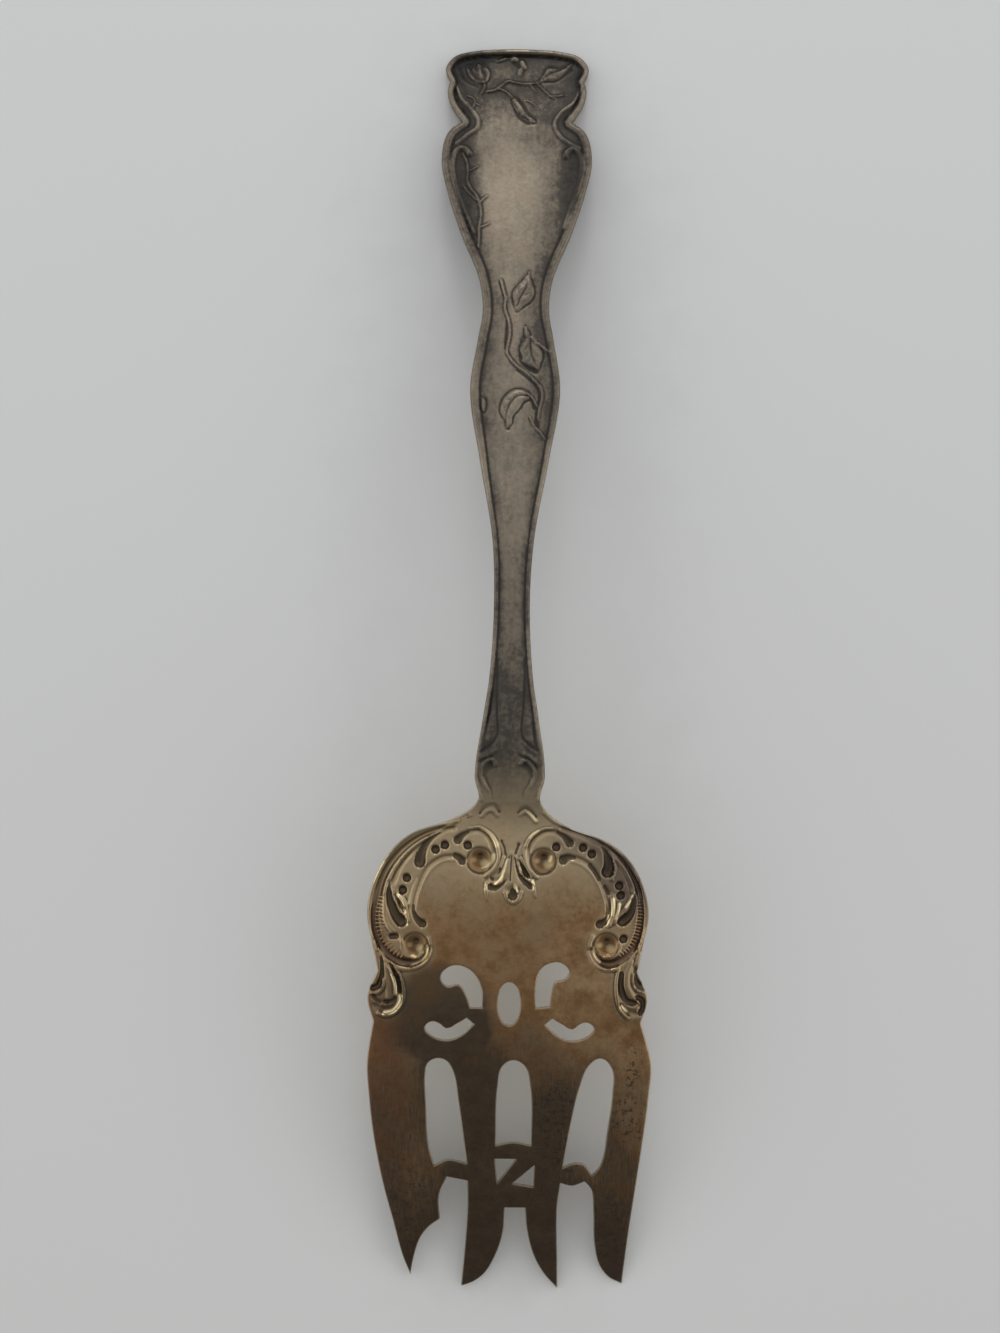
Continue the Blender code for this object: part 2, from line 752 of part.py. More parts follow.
def fork_head():
    """Head with its tines, bars and scrollwork, pierced from one plate."""
    loops = [head_loop()] + [trace(knots, HOLE_STEP, closed=True) for knots in piercings()]
    rows = cup_rows(both_sides(head_cups())) + stroke_rows(both_sides(head_strokes()))
    fine = honeycomb(loops[0], SCROLL_FILL)
    fine = fine[np.min([distance(fine, row) - SCROLL_FILL for row in rows if len(row) > 1], axis=0) < 0]
    fills = [(fine, SCROLL_FILL), (honeycomb(loops[0], PLATE_FILL), PLATE_FILL)]
    return cut(struck_body(loops, rows, fills), -SOLDER_FILM / 2 - SOLDER_CLEARANCE, False)


def solder_film():
    """Film of hard solder that fills the scarf."""
    low, high = SEAM_Y - SCARF_MARGIN, SEAM_Y + SCARF_LENGTH + SCARF_MARGIN
    neck = OUTLINE[(OUTLINE[:, 1] > low) & (OUTLINE[:, 1] < high)]
    fills = [(honeycomb(neck, HANDLE_FILL), HANDLE_FILL)]
    body = cut(struck_body([neck], [], fills), -SOLDER_FILM / 2, True)
    return cut(body, SOLDER_FILM / 2, False)


def finish(name, colour, roughness):
    """Bare metal with its own colour and polish."""
    material = bpy.data.materials.new(name)
    material.use_nodes = True
    shader = material.node_tree.nodes["Principled BSDF"]
    shader.inputs["Base Color"].default_value = (*colour, 1.0)
    shader.inputs["Roughness"].default_value = roughness
    shader.inputs["Metallic"].default_value = 1.0
    return material


def place(name, body, material, parent):
    """Named object that holds a finished body."""
    mesh = bpy.data.meshes.new(name)
    body.to_mesh(mesh)
    body.free()
    mesh.shade_smooth()
    mesh.set_sharp_from_angle(angle=radians(55))
    mesh.materials.append(material)
    piece = bpy.data.objects.new(name, mesh)
    bpy.context.scene.collection.objects.link(piece)
    piece.parent = parent


def main():
    for old in list(bpy.data.objects):
        bpy.data.objects.remove(old, do_unlink=True)
    fork = bpy.data.objects.new("serving_fork", None)
    bpy.context.scene.collection.objects.link(fork)
    place("handle", handle(), finish("tarnished_silver", (0.46, 0.42, 0.36), 0.38), fork)
    place("fork_head", fork_head(), finish("worn_gold_wash", (0.45, 0.33, 0.19), 0.36), fork)
    place("solder_film", solder_film(), finish("silver_solder", (0.52, 0.50, 0.45), 0.45), fork)


main()
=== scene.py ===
# %% [markdown]
# # A tarnished serving fork
# The fork lies with its back upward: the tine tips and the handle end touch the table and the neck arches
# above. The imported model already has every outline, opening and thickness, so this lesson loads it as a
# fixed frame and makes finer surfaces in its place, then the finishes, the light and the camera.

import bmesh
import bpy
import numpy as np
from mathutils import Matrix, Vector
from mathutils.geometry import delaunay_2d_cdt


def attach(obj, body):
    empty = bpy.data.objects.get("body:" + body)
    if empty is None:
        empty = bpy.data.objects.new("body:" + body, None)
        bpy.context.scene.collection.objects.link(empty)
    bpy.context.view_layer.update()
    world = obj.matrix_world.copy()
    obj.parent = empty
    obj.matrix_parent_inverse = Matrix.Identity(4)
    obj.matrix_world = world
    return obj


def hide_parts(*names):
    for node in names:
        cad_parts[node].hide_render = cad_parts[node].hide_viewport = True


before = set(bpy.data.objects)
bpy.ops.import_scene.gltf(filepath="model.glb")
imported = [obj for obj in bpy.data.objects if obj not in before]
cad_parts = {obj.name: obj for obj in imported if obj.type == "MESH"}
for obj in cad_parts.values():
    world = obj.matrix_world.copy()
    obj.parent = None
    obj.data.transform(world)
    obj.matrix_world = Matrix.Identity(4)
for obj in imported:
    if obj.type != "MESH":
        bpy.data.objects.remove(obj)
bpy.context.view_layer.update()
print("nodes in the frame:", sorted(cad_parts))

# %% [markdown]
# ## The table
# The fork lies on a plain pale table. One large plane is enough. Its far edge is out of the way when the
# camera goes round.

# %% Table
MM = 0.001
TABLE_SIDE = 6.0
bpy.ops.mesh.primitive_plane_add(size=TABLE_SIDE, location=(0.0, 0.0, 0.0))
table = bpy.context.object
table.name = "table"
print("table side", TABLE_SIDE, "m")

# %% [markdown]
# ## The camera
# The photograph looks straight down from about a third of a metre, and turned by half a degree. The lens
# follows from the picture's pixels, so the render can be laid over it. The plain view transform shows the
# colours as the materials and the light make them.

# %% Camera
FOCAL_PIXELS = 1903.4
LONG_SIDE_PIXELS = 1333.0
CAMERA_PLACE = (-2.14 * MM, 0.53 * MM, 346.8 * MM)
CAMERA_TURN = 0.0082
camera = bpy.data.objects.new("camera", bpy.data.cameras.new("camera"))
camera.data.sensor_width = 36.0
camera.data.lens = FOCAL_PIXELS / LONG_SIDE_PIXELS * camera.data.sensor_width
camera.location = CAMERA_PLACE
camera.rotation_euler = (0.0, 0.0, CAMERA_TURN)
bpy.context.scene.collection.objects.link(camera)
bpy.context.scene.camera = camera
bpy.context.scene.view_settings.view_transform = "Standard"
print("camera lens", round(camera.data.lens, 2), "mm")

# %% [markdown]
# ## Curves through knots
# Ornament on silver is drawn with smooth strokes. A stroke could be a curve object, but here most strokes
# become heights, so a small function that gives points on a smooth path is enough. Lengths are
# millimetres from here on, in the frame's own X and Y.


# %% Smooth paths
def mix(start, end, share):
    return start + (end - start) * share


def ease(share):
    """Smooth step from 0 to 1."""
    share = np.clip(share, 0.0, 1.0)
    return share * share * (3.0 - 2.0 * share)


def unit(vectors):
    return vectors / np.maximum(np.hypot(vectors[..., 0], vectors[..., 1]), 1e-9)[..., None]


def trace(knots, step, closed=False, sharp=()):
    """Points about one step apart on a smooth curve through the knots; sharp knots stay corners."""
    places = np.array(knots, float)
    count = len(places)
    before = unit(places - np.roll(places, 1, axis=0))
    after = unit(np.roll(places, -1, axis=0) - places)
    if not closed:
        before[0], after[-1] = after[0], before[-1]
    along = unit(before + after)
    points = []
    for index in range(count if closed else count - 1):
        ahead = (index + 1) % count
        chord = places[ahead] - places[index]
        reach = np.hypot(*chord)
        leave = after[index] if index in sharp else along[index]
        arrive = after[index] if ahead in sharp else along[ahead]
        stops = [places[index], places[index] + leave * reach / 3]
        stops += [places[ahead] - arrive * reach / 3, places[ahead]]
        share = np.linspace(0.0, 1.0, int(np.ceil(reach / step)) + 1)[:-1, None]
        rest = 1.0 - share
        weights = (rest**3, 3 * rest**2 * share, 3 * rest * share**2, share**3)
        points.append(sum(weight * stop for weight, stop in zip(weights, stops)))
    if not closed:
        points.append(places[-1:])
    return np.concatenate(points)


print("points on a curve of three knots:", len(trace([(0.0, 0.0), (5.0, 1.0), (10.0, 0.0)], 0.2)))


# %% Inside or outside
def inside(points, loops):
    """Which points lie within the first loop and outside the others."""
    odd = np.zeros(len(points), bool)
    for loop in loops:
        for start, end in zip(loop, np.roll(loop, -1, axis=0)):
            low, high = sorted((start[1], end[1]))
            near = np.nonzero((points[:, 1] >= low) & (points[:, 1] < high))[0]
            if len(near):
                share = (points[near, 1] - start[1]) / (end[1] - start[1])
                odd[near] ^= points[near, 0] < start[0] + share * (end[0] - start[0])
    return odd


square = np.array([(0.0, 0.0), (1.0, 0.0), (1.0, 1.0), (0.0, 1.0)])
print("inside a square, beside it:", inside(np.array([(0.5, 0.5), (1.5, 0.5)]), [square]))

# %% [markdown]
# ## Outlines from the frame
# The outline and the piercings are the frame's own. Its walls are upright, so the edges between a wall
# and the upper side, chained in plan, are the outlines. They are then drawn again as smooth curves with
# points close together, and corners are kept where the frame turns sharply.

# %% Chains of upper edges
UPRIGHT = 0.05


def top_chains(node):
    """Chains of edges where a node's upright walls meet its upper side, in plan, in millimetres."""
    mesh = node.data
    places = np.empty(3 * len(mesh.vertices))
    mesh.vertices.foreach_get("co", places)
    corners = np.empty(len(mesh.loops), int)
    mesh.loops.foreach_get("vertex_index", corners)
    spots, same = np.unique(np.round(places.reshape(-1, 3) / MM, 3), axis=0, return_inverse=True)
    faces = same.ravel()[corners].reshape(-1, 3)
    a, b, c = (spots[faces[:, k]] for k in range(3))
    normal = np.cross(b - a, c - a)
    rise = normal[:, 2] / np.maximum(np.linalg.norm(normal, axis=1), 1e-9)
    walls, upper = set(), []
    for face, up in zip(faces.tolist(), rise):
        sides = list(zip(face, face[1:] + face[:1]))
        if abs(up) < UPRIGHT:
            walls.update(sides)
        elif up > 0.0:
            upper += sides
    ahead = {start: end for start, end in upper if (end, start) in walls}
    loose_ends = list(set(ahead) - set(ahead.values()))
    chains = []
    while ahead:
        chain = [loose_ends.pop() if loose_ends else next(iter(ahead))]
        while chain[-1] in ahead:
            chain.append(ahead.pop(chain[-1]))
        closed = chain[0] == chain[-1]
        chains.append((closed, spots[chain[:-1] if closed else chain][:, :2]))
    return chains


handle_chains, head_chains = (top_chains(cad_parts[name]) for name in ("handle", "fork_head"))
print("chains of edges:", len(handle_chains), "on the handle,", len(head_chains), "on the head")

# %% Outline and piercings
SEAM_Y = -22.5
SEAM_GAP = 0.4
EDGE_STEP = 0.3
SHARP_TURN, SHARP_SHARE = 34.0, 1.5


def sharp_knots(loop):
    """Places where a closed loop turns much more than beside them."""
    before = unit(loop - np.roll(loop, 1, axis=0))
    after = unit(np.roll(loop, -1, axis=0) - loop)
    turn = np.degrees(np.arccos(np.clip((before * after).sum(1), -1.0, 1.0)))
    beside = np.maximum(np.roll(turn, 1), np.roll(turn, -1))
    return {int(k) for k in np.nonzero((turn > SHARP_TURN) & (turn > SHARP_SHARE * beside))[0]}


handle_edge = max((chain for closed, chain in handle_chains), key=len)
head_edge = max((chain for closed, chain in head_chains if not closed), key=len)
head_edge = head_edge[head_edge[:, 1] < SEAM_Y - SEAM_GAP]
outline_knots = np.concatenate([handle_edge, head_edge])
corners = sharp_knots(outline_knots)
outline = trace(outline_knots, EDGE_STEP, True, corners)
piercings = [trace(chain, EDGE_STEP, True, sharp_knots(chain)) for closed, chain in head_chains if closed]
print("outline points:", len(outline), "corners:", len(corners), "piercings:", len(piercings))

# %% [markdown]
# ## The arch of the fork
# Two height functions hold the whole form: the middle of the back along the fork, which rises from the
# tips to the neck and falls to the handle end, and the thickness of the metal. They repeat the frame's
# numbers, so that the finer surfaces lie where its solids are.

# %% Back, droop and thickness
HEAD_LENGTH = 90.0
TINE_SPAN = 49.7
DROOP_AT_SEAM, DROOP_AT_TIPS, DROOP_RUN = 2.2, 1.3, 12.0
TIP_KNOT = (-112.5, 0.75, 0.46)
CREST_KNOT = (-8.0, 23.5, 0.0)
END_KNOT = (112.5, 1.95, -0.15)
THICKNESS = [
    (-112.5, 1.1),
    (-94.5, 1.35),
    (-36.9, 1.35),
    (-22.5, 2.6),
    (-15.75, 2.6),
    (10.6, 4.0),
    (48.8, 2.9),
    (112.5, 2.7),
]


def arch(y, start, end):
    """Cubic between two (place, height, slope) knots."""
    run = end[0] - start[0]
    t = (y - start[0]) / run
    rise = (2 * t**3 - 3 * t**2 + 1) * start[1] + (3 * t**2 - 2 * t**3) * end[1]
    return rise + ((t**3 - 2 * t**2 + t) * start[2] + (t**3 - t**2) * end[2]) * run


def spine(y):
    """Height of the plain back along the middle of the fork."""
    return np.where(y < CREST_KNOT[0], arch(y, TIP_KNOT, CREST_KNOT), arch(y, CREST_KNOT, END_KNOT))


def droop(points):
    """How far the sides of the head fall below its middle."""
    down = (SEAM_Y - points[:, 1]) / HEAD_LENGTH
    share = ease(down * HEAD_LENGTH / DROOP_RUN)
    return share * mix(DROOP_AT_SEAM, DROOP_AT_TIPS, down) * (2 * points[:, 0] / TINE_SPAN) ** 2


def thickness(y):
    """Thickness of the metal, eased between its stations."""
    total = np.full(len(y), THICKNESS[0][1])
    for (start, low), (end, high) in zip(THICKNESS, THICKNESS[1:]):
        total = total + (high - low) * ease((y - start) / (end - start))
    return total


print("neck height", round(float(spine(np.array([CREST_KNOT[0]]))[0]), 2), "mm")

# %% [markdown]
# ## Striking the pattern
# The real ornament was struck between dies: every line is a dent or a ridge in one sheet of metal.
# Separate bits stuck on would show gaps, so the pattern is a fine grid of heights that lines, leaves,
# pits and cups are pressed into. Any mesh point can then read its height from the grid. Narrow sunk lines
# and wide dished ones are kept apart, because black tarnish stays in the narrow ones when the fork is
# wiped. A last layer notes what is laid on later, so that the tarnish can gather round that too.


# %% A grid of struck heights
class StruckSheet:
    """Heights of a struck pattern on a fine grid, kept in layers."""

    def __init__(self, low, high, step=0.08):
        self.step = step
        self.low = np.array(low)
        self.x = np.arange(low[0], high[0], step)
        self.y = np.arange(low[1], high[1], step)
        shape = (len(self.y), len(self.x))
        self.ground, self.raised, self.sunk, self.dished = (np.zeros(shape) for _ in range(4))
        self.laid, self.polished, self.gilded = (np.zeros(shape) for _ in range(3))

    def measure(self, path, reach):
        """Distance of each cell from a path, up to a reach, and the share of the path's length there."""
        away = np.full(self.raised.shape, float(reach))
        share = np.zeros(self.raised.shape)
        runs = np.diff(path, axis=0)
        lengths = np.hypot(runs[:, 0], runs[:, 1])
        begins = np.cumsum(lengths) - lengths
        for start, run, length, begin in zip(path, runs, lengths, begins):
            low = np.minimum(start, start + run) - reach
            high = np.maximum(start, start + run) + reach
            rows = slice(*np.searchsorted(self.y, (low[1], high[1])))
            columns = slice(*np.searchsorted(self.x, (low[0], high[0])))
            across = self.x[columns][None, :] - start[0]
            along = self.y[rows][:, None] - start[1]
            place = np.clip((across * run[0] + along * run[1]) / max(length**2, 1e-9), 0.0, 1.0)
            gap = np.hypot(across - place * run[0], along - place * run[1])
            closer = gap < away[rows, columns]
            away[rows, columns] = np.where(closer, gap, away[rows, columns])
            share[rows, columns] = np.where(closer, begin + place * length, share[rows, columns])
        return away, share / max(lengths.sum(), 1e-9)

    def stroke(self, layer, knots, root, width, height, edge=2.0):
        """Round-topped line that widens from its root; a higher edge number gives a steeper side."""
        away, share = self.measure(trace(knots, 0.2), max(root, width) / 2)
        reach = mix(root, width, share) / 2
        rise = height * reach / reach.max() * np.clip(1.0 - (away / reach) ** edge, 0.0, 1.0)
        np.maximum(layer, rise, out=layer)

    def strike(self, layer, strokes, edge=2.0):
        """Every stroke of a named set: knots, width at the root, width at the end, height."""
        for knots, root, width, height in strokes.values():
            self.stroke(layer, knots, root, width, height, edge)

    def shape(self, layer, knots, height, bevel=0.9):
        """Shape with a closed outline, rounded down to it like a leaf in low relief."""
        path = trace(knots, 0.2, True)
        away, _ = self.measure(np.concatenate([path, path[:1]]), bevel)
        low, high = path.min(0), path.max(0)
        rows = slice(*np.searchsorted(self.y, (low[1], high[1])))
        columns = slice(*np.searchsorted(self.x, (low[0], high[0])))
        cells = np.stack(np.meshgrid(self.x[columns], self.y[rows]), axis=-1)
        within = inside(cells.reshape(-1, 2), [path]).reshape(cells.shape[:2])
        rise = height * (1.0 - (1.0 - away[rows, columns] / bevel) ** 2)
        np.maximum(layer[rows, columns], np.where(within, rise, 0.0), out=layer[rows, columns])

    def cup(self, layer, centre, radius, depth, power=2.0):
        """Round hollow or boss."""
        away = np.hypot(self.x[None, :] - centre[0], self.y[:, None] - centre[1])
        np.maximum(layer, depth * np.clip(1.0 - (away / radius) ** power, 0.0, 1.0), out=layer)

    def height(self):
        return self.ground + self.raised - np.maximum(self.sunk, self.dished)

    def read(self, layer, points):
        """Value of a layer at points, between its cells."""
        place = (points - self.low) / self.step
        most = np.array(layer.shape[::-1]) - 2
        cell = np.clip(np.floor(place).astype(int), 0, most)
        share = np.clip(place - cell, 0.0, 1.0)
        column, row = cell[:, 0], cell[:, 1]
        lower = mix(layer[row, column], layer[row, column + 1], share[:, 0])
        upper = mix(layer[row + 1, column], layer[row + 1, column + 1], share[:, 0])
        return mix(lower, upper, share[:, 1])


handle_sheet = StruckSheet((-14.6, -24.0), (14.6, 113.6))
head_sheet = StruckSheet((-26.0, -68.0), (26.0, -19.0))
print("grid cells:", handle_sheet.raised.size + head_sheet.raised.size)

# %% [markdown]
# ## The handle's border
# The border is a rounded rim with a groove inside it and a sunk field. Its height depends only on how far
# a place lies from the outline, so it is one profile, read at the distance of each cell. The rim's width
# changes along the handle, and left and right differ. The field is deepest in the lobe at the end.

# %% Profile of the border
BORDER_PLACES = np.array([0.0, 0.75, 1.3, 1.72, 2.1])
BORDER_HEIGHTS = np.array([-0.6, 0.0, -0.14, -0.52, -0.34])


def quarter_round(share):
    """How far a rounded edge lies below its top: 1 at the edge, 0 where the rounding ends."""
    return 1.0 - np.sqrt(np.clip(1.0 - (1.0 - share) ** 2, 0.0, 1.0))


def border_profile(away, scale):
    """Height of the border at a distance from the edge: round rim, groove, field."""
    place = np.clip(away / scale, 0.0, BORDER_PLACES[-1] - 1e-6)
    index = np.clip(np.searchsorted(BORDER_PLACES, place, side="right") - 1, 0, 3)
    share = (place - BORDER_PLACES[index]) / (BORDER_PLACES[index + 1] - BORDER_PLACES[index])
    rim = BORDER_HEIGHTS[0] * quarter_round(place / BORDER_PLACES[1])
    return np.where(index == 0, rim, mix(BORDER_HEIGHTS[index], BORDER_HEIGHTS[index + 1], ease(share)))


print("heights of edge, rim and groove:", border_profile(BORDER_PLACES[[0, 1, 3]], 1.0))

# %% Border of the handle
RIM_PLACES = [-22.0, 0.0, 28.0, 45.0, 56.0, 66.0, 92.0, 99.0, 106.0]
LEFT_RIM_SCALES = [0.55, 0.48, 0.55, 1.0, 1.0, 0.95, 1.0, 0.85, 0.72]
RIGHT_RIM_SCALES = [0.55, 0.48, 0.55, 0.72, 0.75, 0.92, 1.0, 0.85, 0.72]
EDGE_REACH = 6.0
FIELD_RISE = 0.3
LOBE_DEPTH, LOBE_START, LOBE_RUN = 0.45, 96.0, 9.0
NECK_START, NECK_RUN = 6.0, 10.0
END_OF_SIDES = 108.4
right_side = outline[(outline[:, 0] > 0.0) & (outline[:, 1] > SEAM_Y) & (outline[:, 1] < END_OF_SIDES)]
right_side = right_side[np.argsort(right_side[:, 1])]
edge_away, _ = handle_sheet.measure(np.concatenate([outline, outline[:1]]), EDGE_REACH)
along_handle = handle_sheet.y[:, None]
half_width = np.interp(along_handle, right_side[:, 1], right_side[:, 0])
left_scale = np.interp(along_handle, RIM_PLACES, LEFT_RIM_SCALES)
right_scale = np.interp(along_handle, RIM_PLACES, RIGHT_RIM_SCALES)
rim_scale = mix(left_scale, right_scale, ease((handle_sheet.x[None, :] + 2.0) / 4.0))
field = edge_away - BORDER_PLACES[-1] * rim_scale
field = np.clip(field / np.minimum(half_width, EDGE_REACH), 0.0, 1.0)
border = border_profile(edge_away, rim_scale) + FIELD_RISE * (2 * field - field * field)
lobe = ease((along_handle - LOBE_START) / LOBE_RUN) * ease((edge_away / rim_scale - 0.9) / 0.9)
border = border - LOBE_DEPTH * lobe
handle_sheet.ground[:] = border * ease((along_handle - SEAM_Y - NECK_START) / NECK_RUN)
print("deepest border place", round(float(handle_sheet.ground.min()), 2), "mm")

# %% [markdown]
# ## Scrolls of the handle
# Inside the border run scrolls that curl in at the shoulders, and thin crests and sunk lines meet at the
# neck. Their knots were measured on the photograph, and each is one stroke struck into the sheet. Left
# and right differ a little, as on the real piece, so neither is a mirror of the other.

# %% Scrolls of the handle
up = handle_sheet.raised
SCROLL_STROKE = (0.8, 1.4, 0.62)
INNER_STROKE = (0.7, 1.1, 0.42)
SHOULDER_SCROLLS = [
    [(-7.4, 77.6), (-8.8, 81.1), (-10.2, 84.6), (-11.1, 87.8), (-11.4, 90.9), (-11.0, 92.7), (-10.0, 93.6)]
    + [(-8.9, 93.3), (-8.4, 92.5)],
    [(8.6, 78.6), (9.8, 82.4), (10.9, 85.4), (11.7, 88.4), (11.9, 91.1), (11.3, 92.8), (10.2, 93.5)]
    + [(9.2, 93.0), (8.9, 92.2)],
]
for knots in SHOULDER_SCROLLS:
    handle_sheet.stroke(up, knots, *SCROLL_STROKE)
INNER_LINES = [
    [(-11.2, 106.2), (-9.8, 103.0), (-8.0, 100.9), (-6.9, 99.0), (-7.1, 97.5), (-8.7, 96.2), (-10.6, 94.5)],
    [(11.9, 105.6), (10.2, 102.4), (8.0, 100.5), (6.9, 98.4), (7.5, 96.5), (9.3, 94.8), (11.4, 93.7)],
]
for knots in INNER_LINES:
    handle_sheet.stroke(up, knots, *INNER_STROKE)
print("scrolls:", len(SHOULDER_SCROLLS), "inner lines:", len(INNER_LINES))

# %% Crests and lines of the neck
NECK_CRESTS = {
    "left_curl": ([(-4.0, -20.5), (-4.7, -19.3), (-5.3, -17.9), (-5.2, -16.7), (-4.6, -15.8),
        (-3.8, -15.3), (-3.0, -15.5), (-2.8, -16.1)], 0.5, 1.0, 0.36),
    "right_curl": ([(3.3, -19.9), (3.9, -18.5), (3.9, -17.3), (3.4, -16.3), (2.6, -15.6), (1.9, -15.5),
        (1.5, -15.9)], 0.5, 1.0, 0.36),
    "left_band": ([(-5.2, -14.9), (-3.9, -14.4), (-2.7, -13.6)], 0.9, 1.0, 0.24),
    "right_band": ([(2.1, -14.2), (3.3, -14.9), (4.4, -15.9)], 0.9, 0.9, 0.24),
    "right_upper_band": ([(2.0, -12.3), (2.9, -13.3), (4.3, -14.1)], 0.7, 0.8, 0.2),
    "left_lobe": ([(-3.1, -6.0), (-3.6, -8.9), (-4.0, -11.6)], 0.9, 1.6, 0.16),
    "right_lobe": ([(2.7, -6.0), (2.7, -8.9), (2.9, -11.6)], 0.9, 1.6, 0.16),
    "left_side_line": ([(-5.7, -16.1), (-6.0, -18.3), (-5.6, -20.5), (-5.0, -22.2)], 0.6, 0.7, 0.2),
    "right_side_line": ([(5.3, -16.7), (5.4, -18.7), (4.8, -20.8), (4.6, -22.1)], 0.6, 0.7, 0.22),
}
NECK_LINES = {
    "left_inner_line": ([(-2.6, 1.6), (-2.6, -3.5), (-2.6, -7.7), (-2.5, -10.8), (-3.1, -12.1),
        (-4.1, -13.2), (-5.3, -13.9)], 0.5, 0.7, 0.2),
    "left_outer_line": ([(-3.3, -3.5), (-4.0, -7.9), (-4.8, -10.6), (-5.3, -13.0)], 0.4, 0.6, 0.16),
    "right_inner_line": ([(2.1, 1.7), (2.0, -3.4), (1.8, -7.2), (1.7, -11.1), (2.6, -12.6),
        (4.3, -13.8)], 0.5, 0.7, 0.2),
    "right_outer_line": ([(3.5, -8.9), (3.9, -12.2), (4.4, -13.9)], 0.4, 0.6, 0.16),
    "left_curl_hollow": ([(-3.5, -16.3), (-4.2, -17.0), (-4.5, -17.9)], 1.9, 1.2, 0.28),
    "left_curl_tail": ([(-4.5, -17.9), (-4.0, -19.3), (-3.4, -20.6), (-3.2, -22.2)], 0.9, 0.4, 0.18),
    "right_curl_hollow": ([(2.3, -16.3), (3.0, -17.0), (3.2, -18.0)], 1.9, 1.2, 0.28),
    "right_curl_tail": ([(3.2, -18.0), (2.8, -19.4), (2.0, -20.8), (1.9, -22.1)], 0.7, 0.4, 0.14),
    "left_band_shadow": ([(-5.3, -15.6), (-4.6, -15.2), (-3.5, -14.9)], 0.6, 0.6, 0.14),
    "right_band_shadow": ([(1.4, -14.6), (2.6, -15.1), (3.6, -15.8), (4.3, -16.8)], 0.6, 0.6, 0.14),
}
handle_sheet.strike(up, NECK_CRESTS)
handle_sheet.strike(handle_sheet.sunk, NECK_LINES)
print("neck crests:", len(NECK_CRESTS), "neck lines:", len(NECK_LINES))

# %% [markdown]
# ## Leaves, buds and their veins
# Loose sprigs with a tulip, buds and leaves lie on the handle. Each is a closed outline, rounded down to
# its edge, with a fine groove round it; leaves modelled as meshes of their own would leave gaps beneath.
# Middle veins hold dark tarnish. The wider sunk shades beside the leaves are shallow grooves put where
# shade falls, so their black tarnish is painted shade. Side veins are alike on all leaves, so a function
# draws them from a leaf's middle vein and its outline.

# %% Leaves and buds of the handle
LEAF_GROOVE = (0.45, 0.45, 0.15)
LEAVES = {
    "upper_leaf": ([(0.3, 62.8), (-0.4, 64.5), (-0.6, 66.1), (-0.0, 67.4), (1.0, 68.5), (2.1, 69.9),
        (2.5, 70.5), (2.7, 69.3), (3.2, 68.0), (3.5, 66.5), (3.0, 65.0), (1.7, 63.9)], 0.34),
    "middle_leaf": ([(1.8, 60.4), (2.5, 59.4), (2.9, 58.1), (3.9, 57.0), (4.8, 55.9), (5.0, 54.6),
        (4.6, 53.4), (4.1, 52.2), (3.2, 52.5), (2.0, 53.1), (0.9, 53.9), (1.2, 54.8), (0.7, 55.7),
        (1.0, 57.0), (1.6, 57.9), (1.5, 59.2)], 0.34),
    "low_leaf": ([(2.5, 48.3), (1.1, 48.9), (-0.4, 48.7), (-1.8, 47.5), (-2.5, 45.9), (-2.5, 44.5),
        (-1.8, 43.2), (-1.3, 41.7), (-0.4, 42.5), (-0.2, 43.8), (0.8, 45.1), (1.7, 46.4),
        (2.7, 47.1)], 0.34),
    "rim_bud": ([(-5.8, 47.5), (-5.0, 47.0), (-4.9, 45.7), (-5.3, 44.6), (-5.8, 45.0)], 0.28),
    "end_leaf": ([(4.2, 106.5), (4.8, 107.9), (5.5, 109.1), (6.6, 109.2), (7.6, 109.0), (8.9, 109.4),
        (10.2, 110.1), (9.5, 108.9), (8.9, 108.1), (8.2, 107.2), (7.1, 106.5), (5.7, 106.3)], 0.34),
    "tulip": ([(-9.3, 108.9), (-8.7, 109.4), (-8.1, 109.2), (-7.6, 109.8), (-6.8, 110.1), (-6.1, 109.6),
        (-5.4, 109.2), (-4.8, 108.2), (-4.9, 107.0), (-5.4, 106.2), (-6.0, 105.8), (-7.0, 106.2),
        (-8.3, 106.8), (-9.0, 107.8)], 0.34),
    "hanging_bud": ([(-0.8, 103.3), (-0.0, 103.3), (0.7, 102.6), (1.4, 101.8), (1.8, 100.8), (2.3, 100.0),
        (3.2, 99.3), (3.5, 98.5), (2.8, 98.3), (1.8, 99.2), (0.9, 99.7), (0.1, 100.5), (-0.5, 101.5),
        (-0.9, 102.5)], 0.42),
    "top_blade": ([(-4.2, 110.2), (-3.0, 110.9), (-1.6, 111.2), (-0.9, 111.1), (-2.0, 110.4),
        (-3.2, 110.0)], 0.3),
}
for knots, height in LEAVES.values():
    handle_sheet.shape(up, knots, height)
    handle_sheet.stroke(handle_sheet.sunk, knots + knots[:1], *LEAF_GROOVE)
print("leaves and buds:", len(LEAVES))

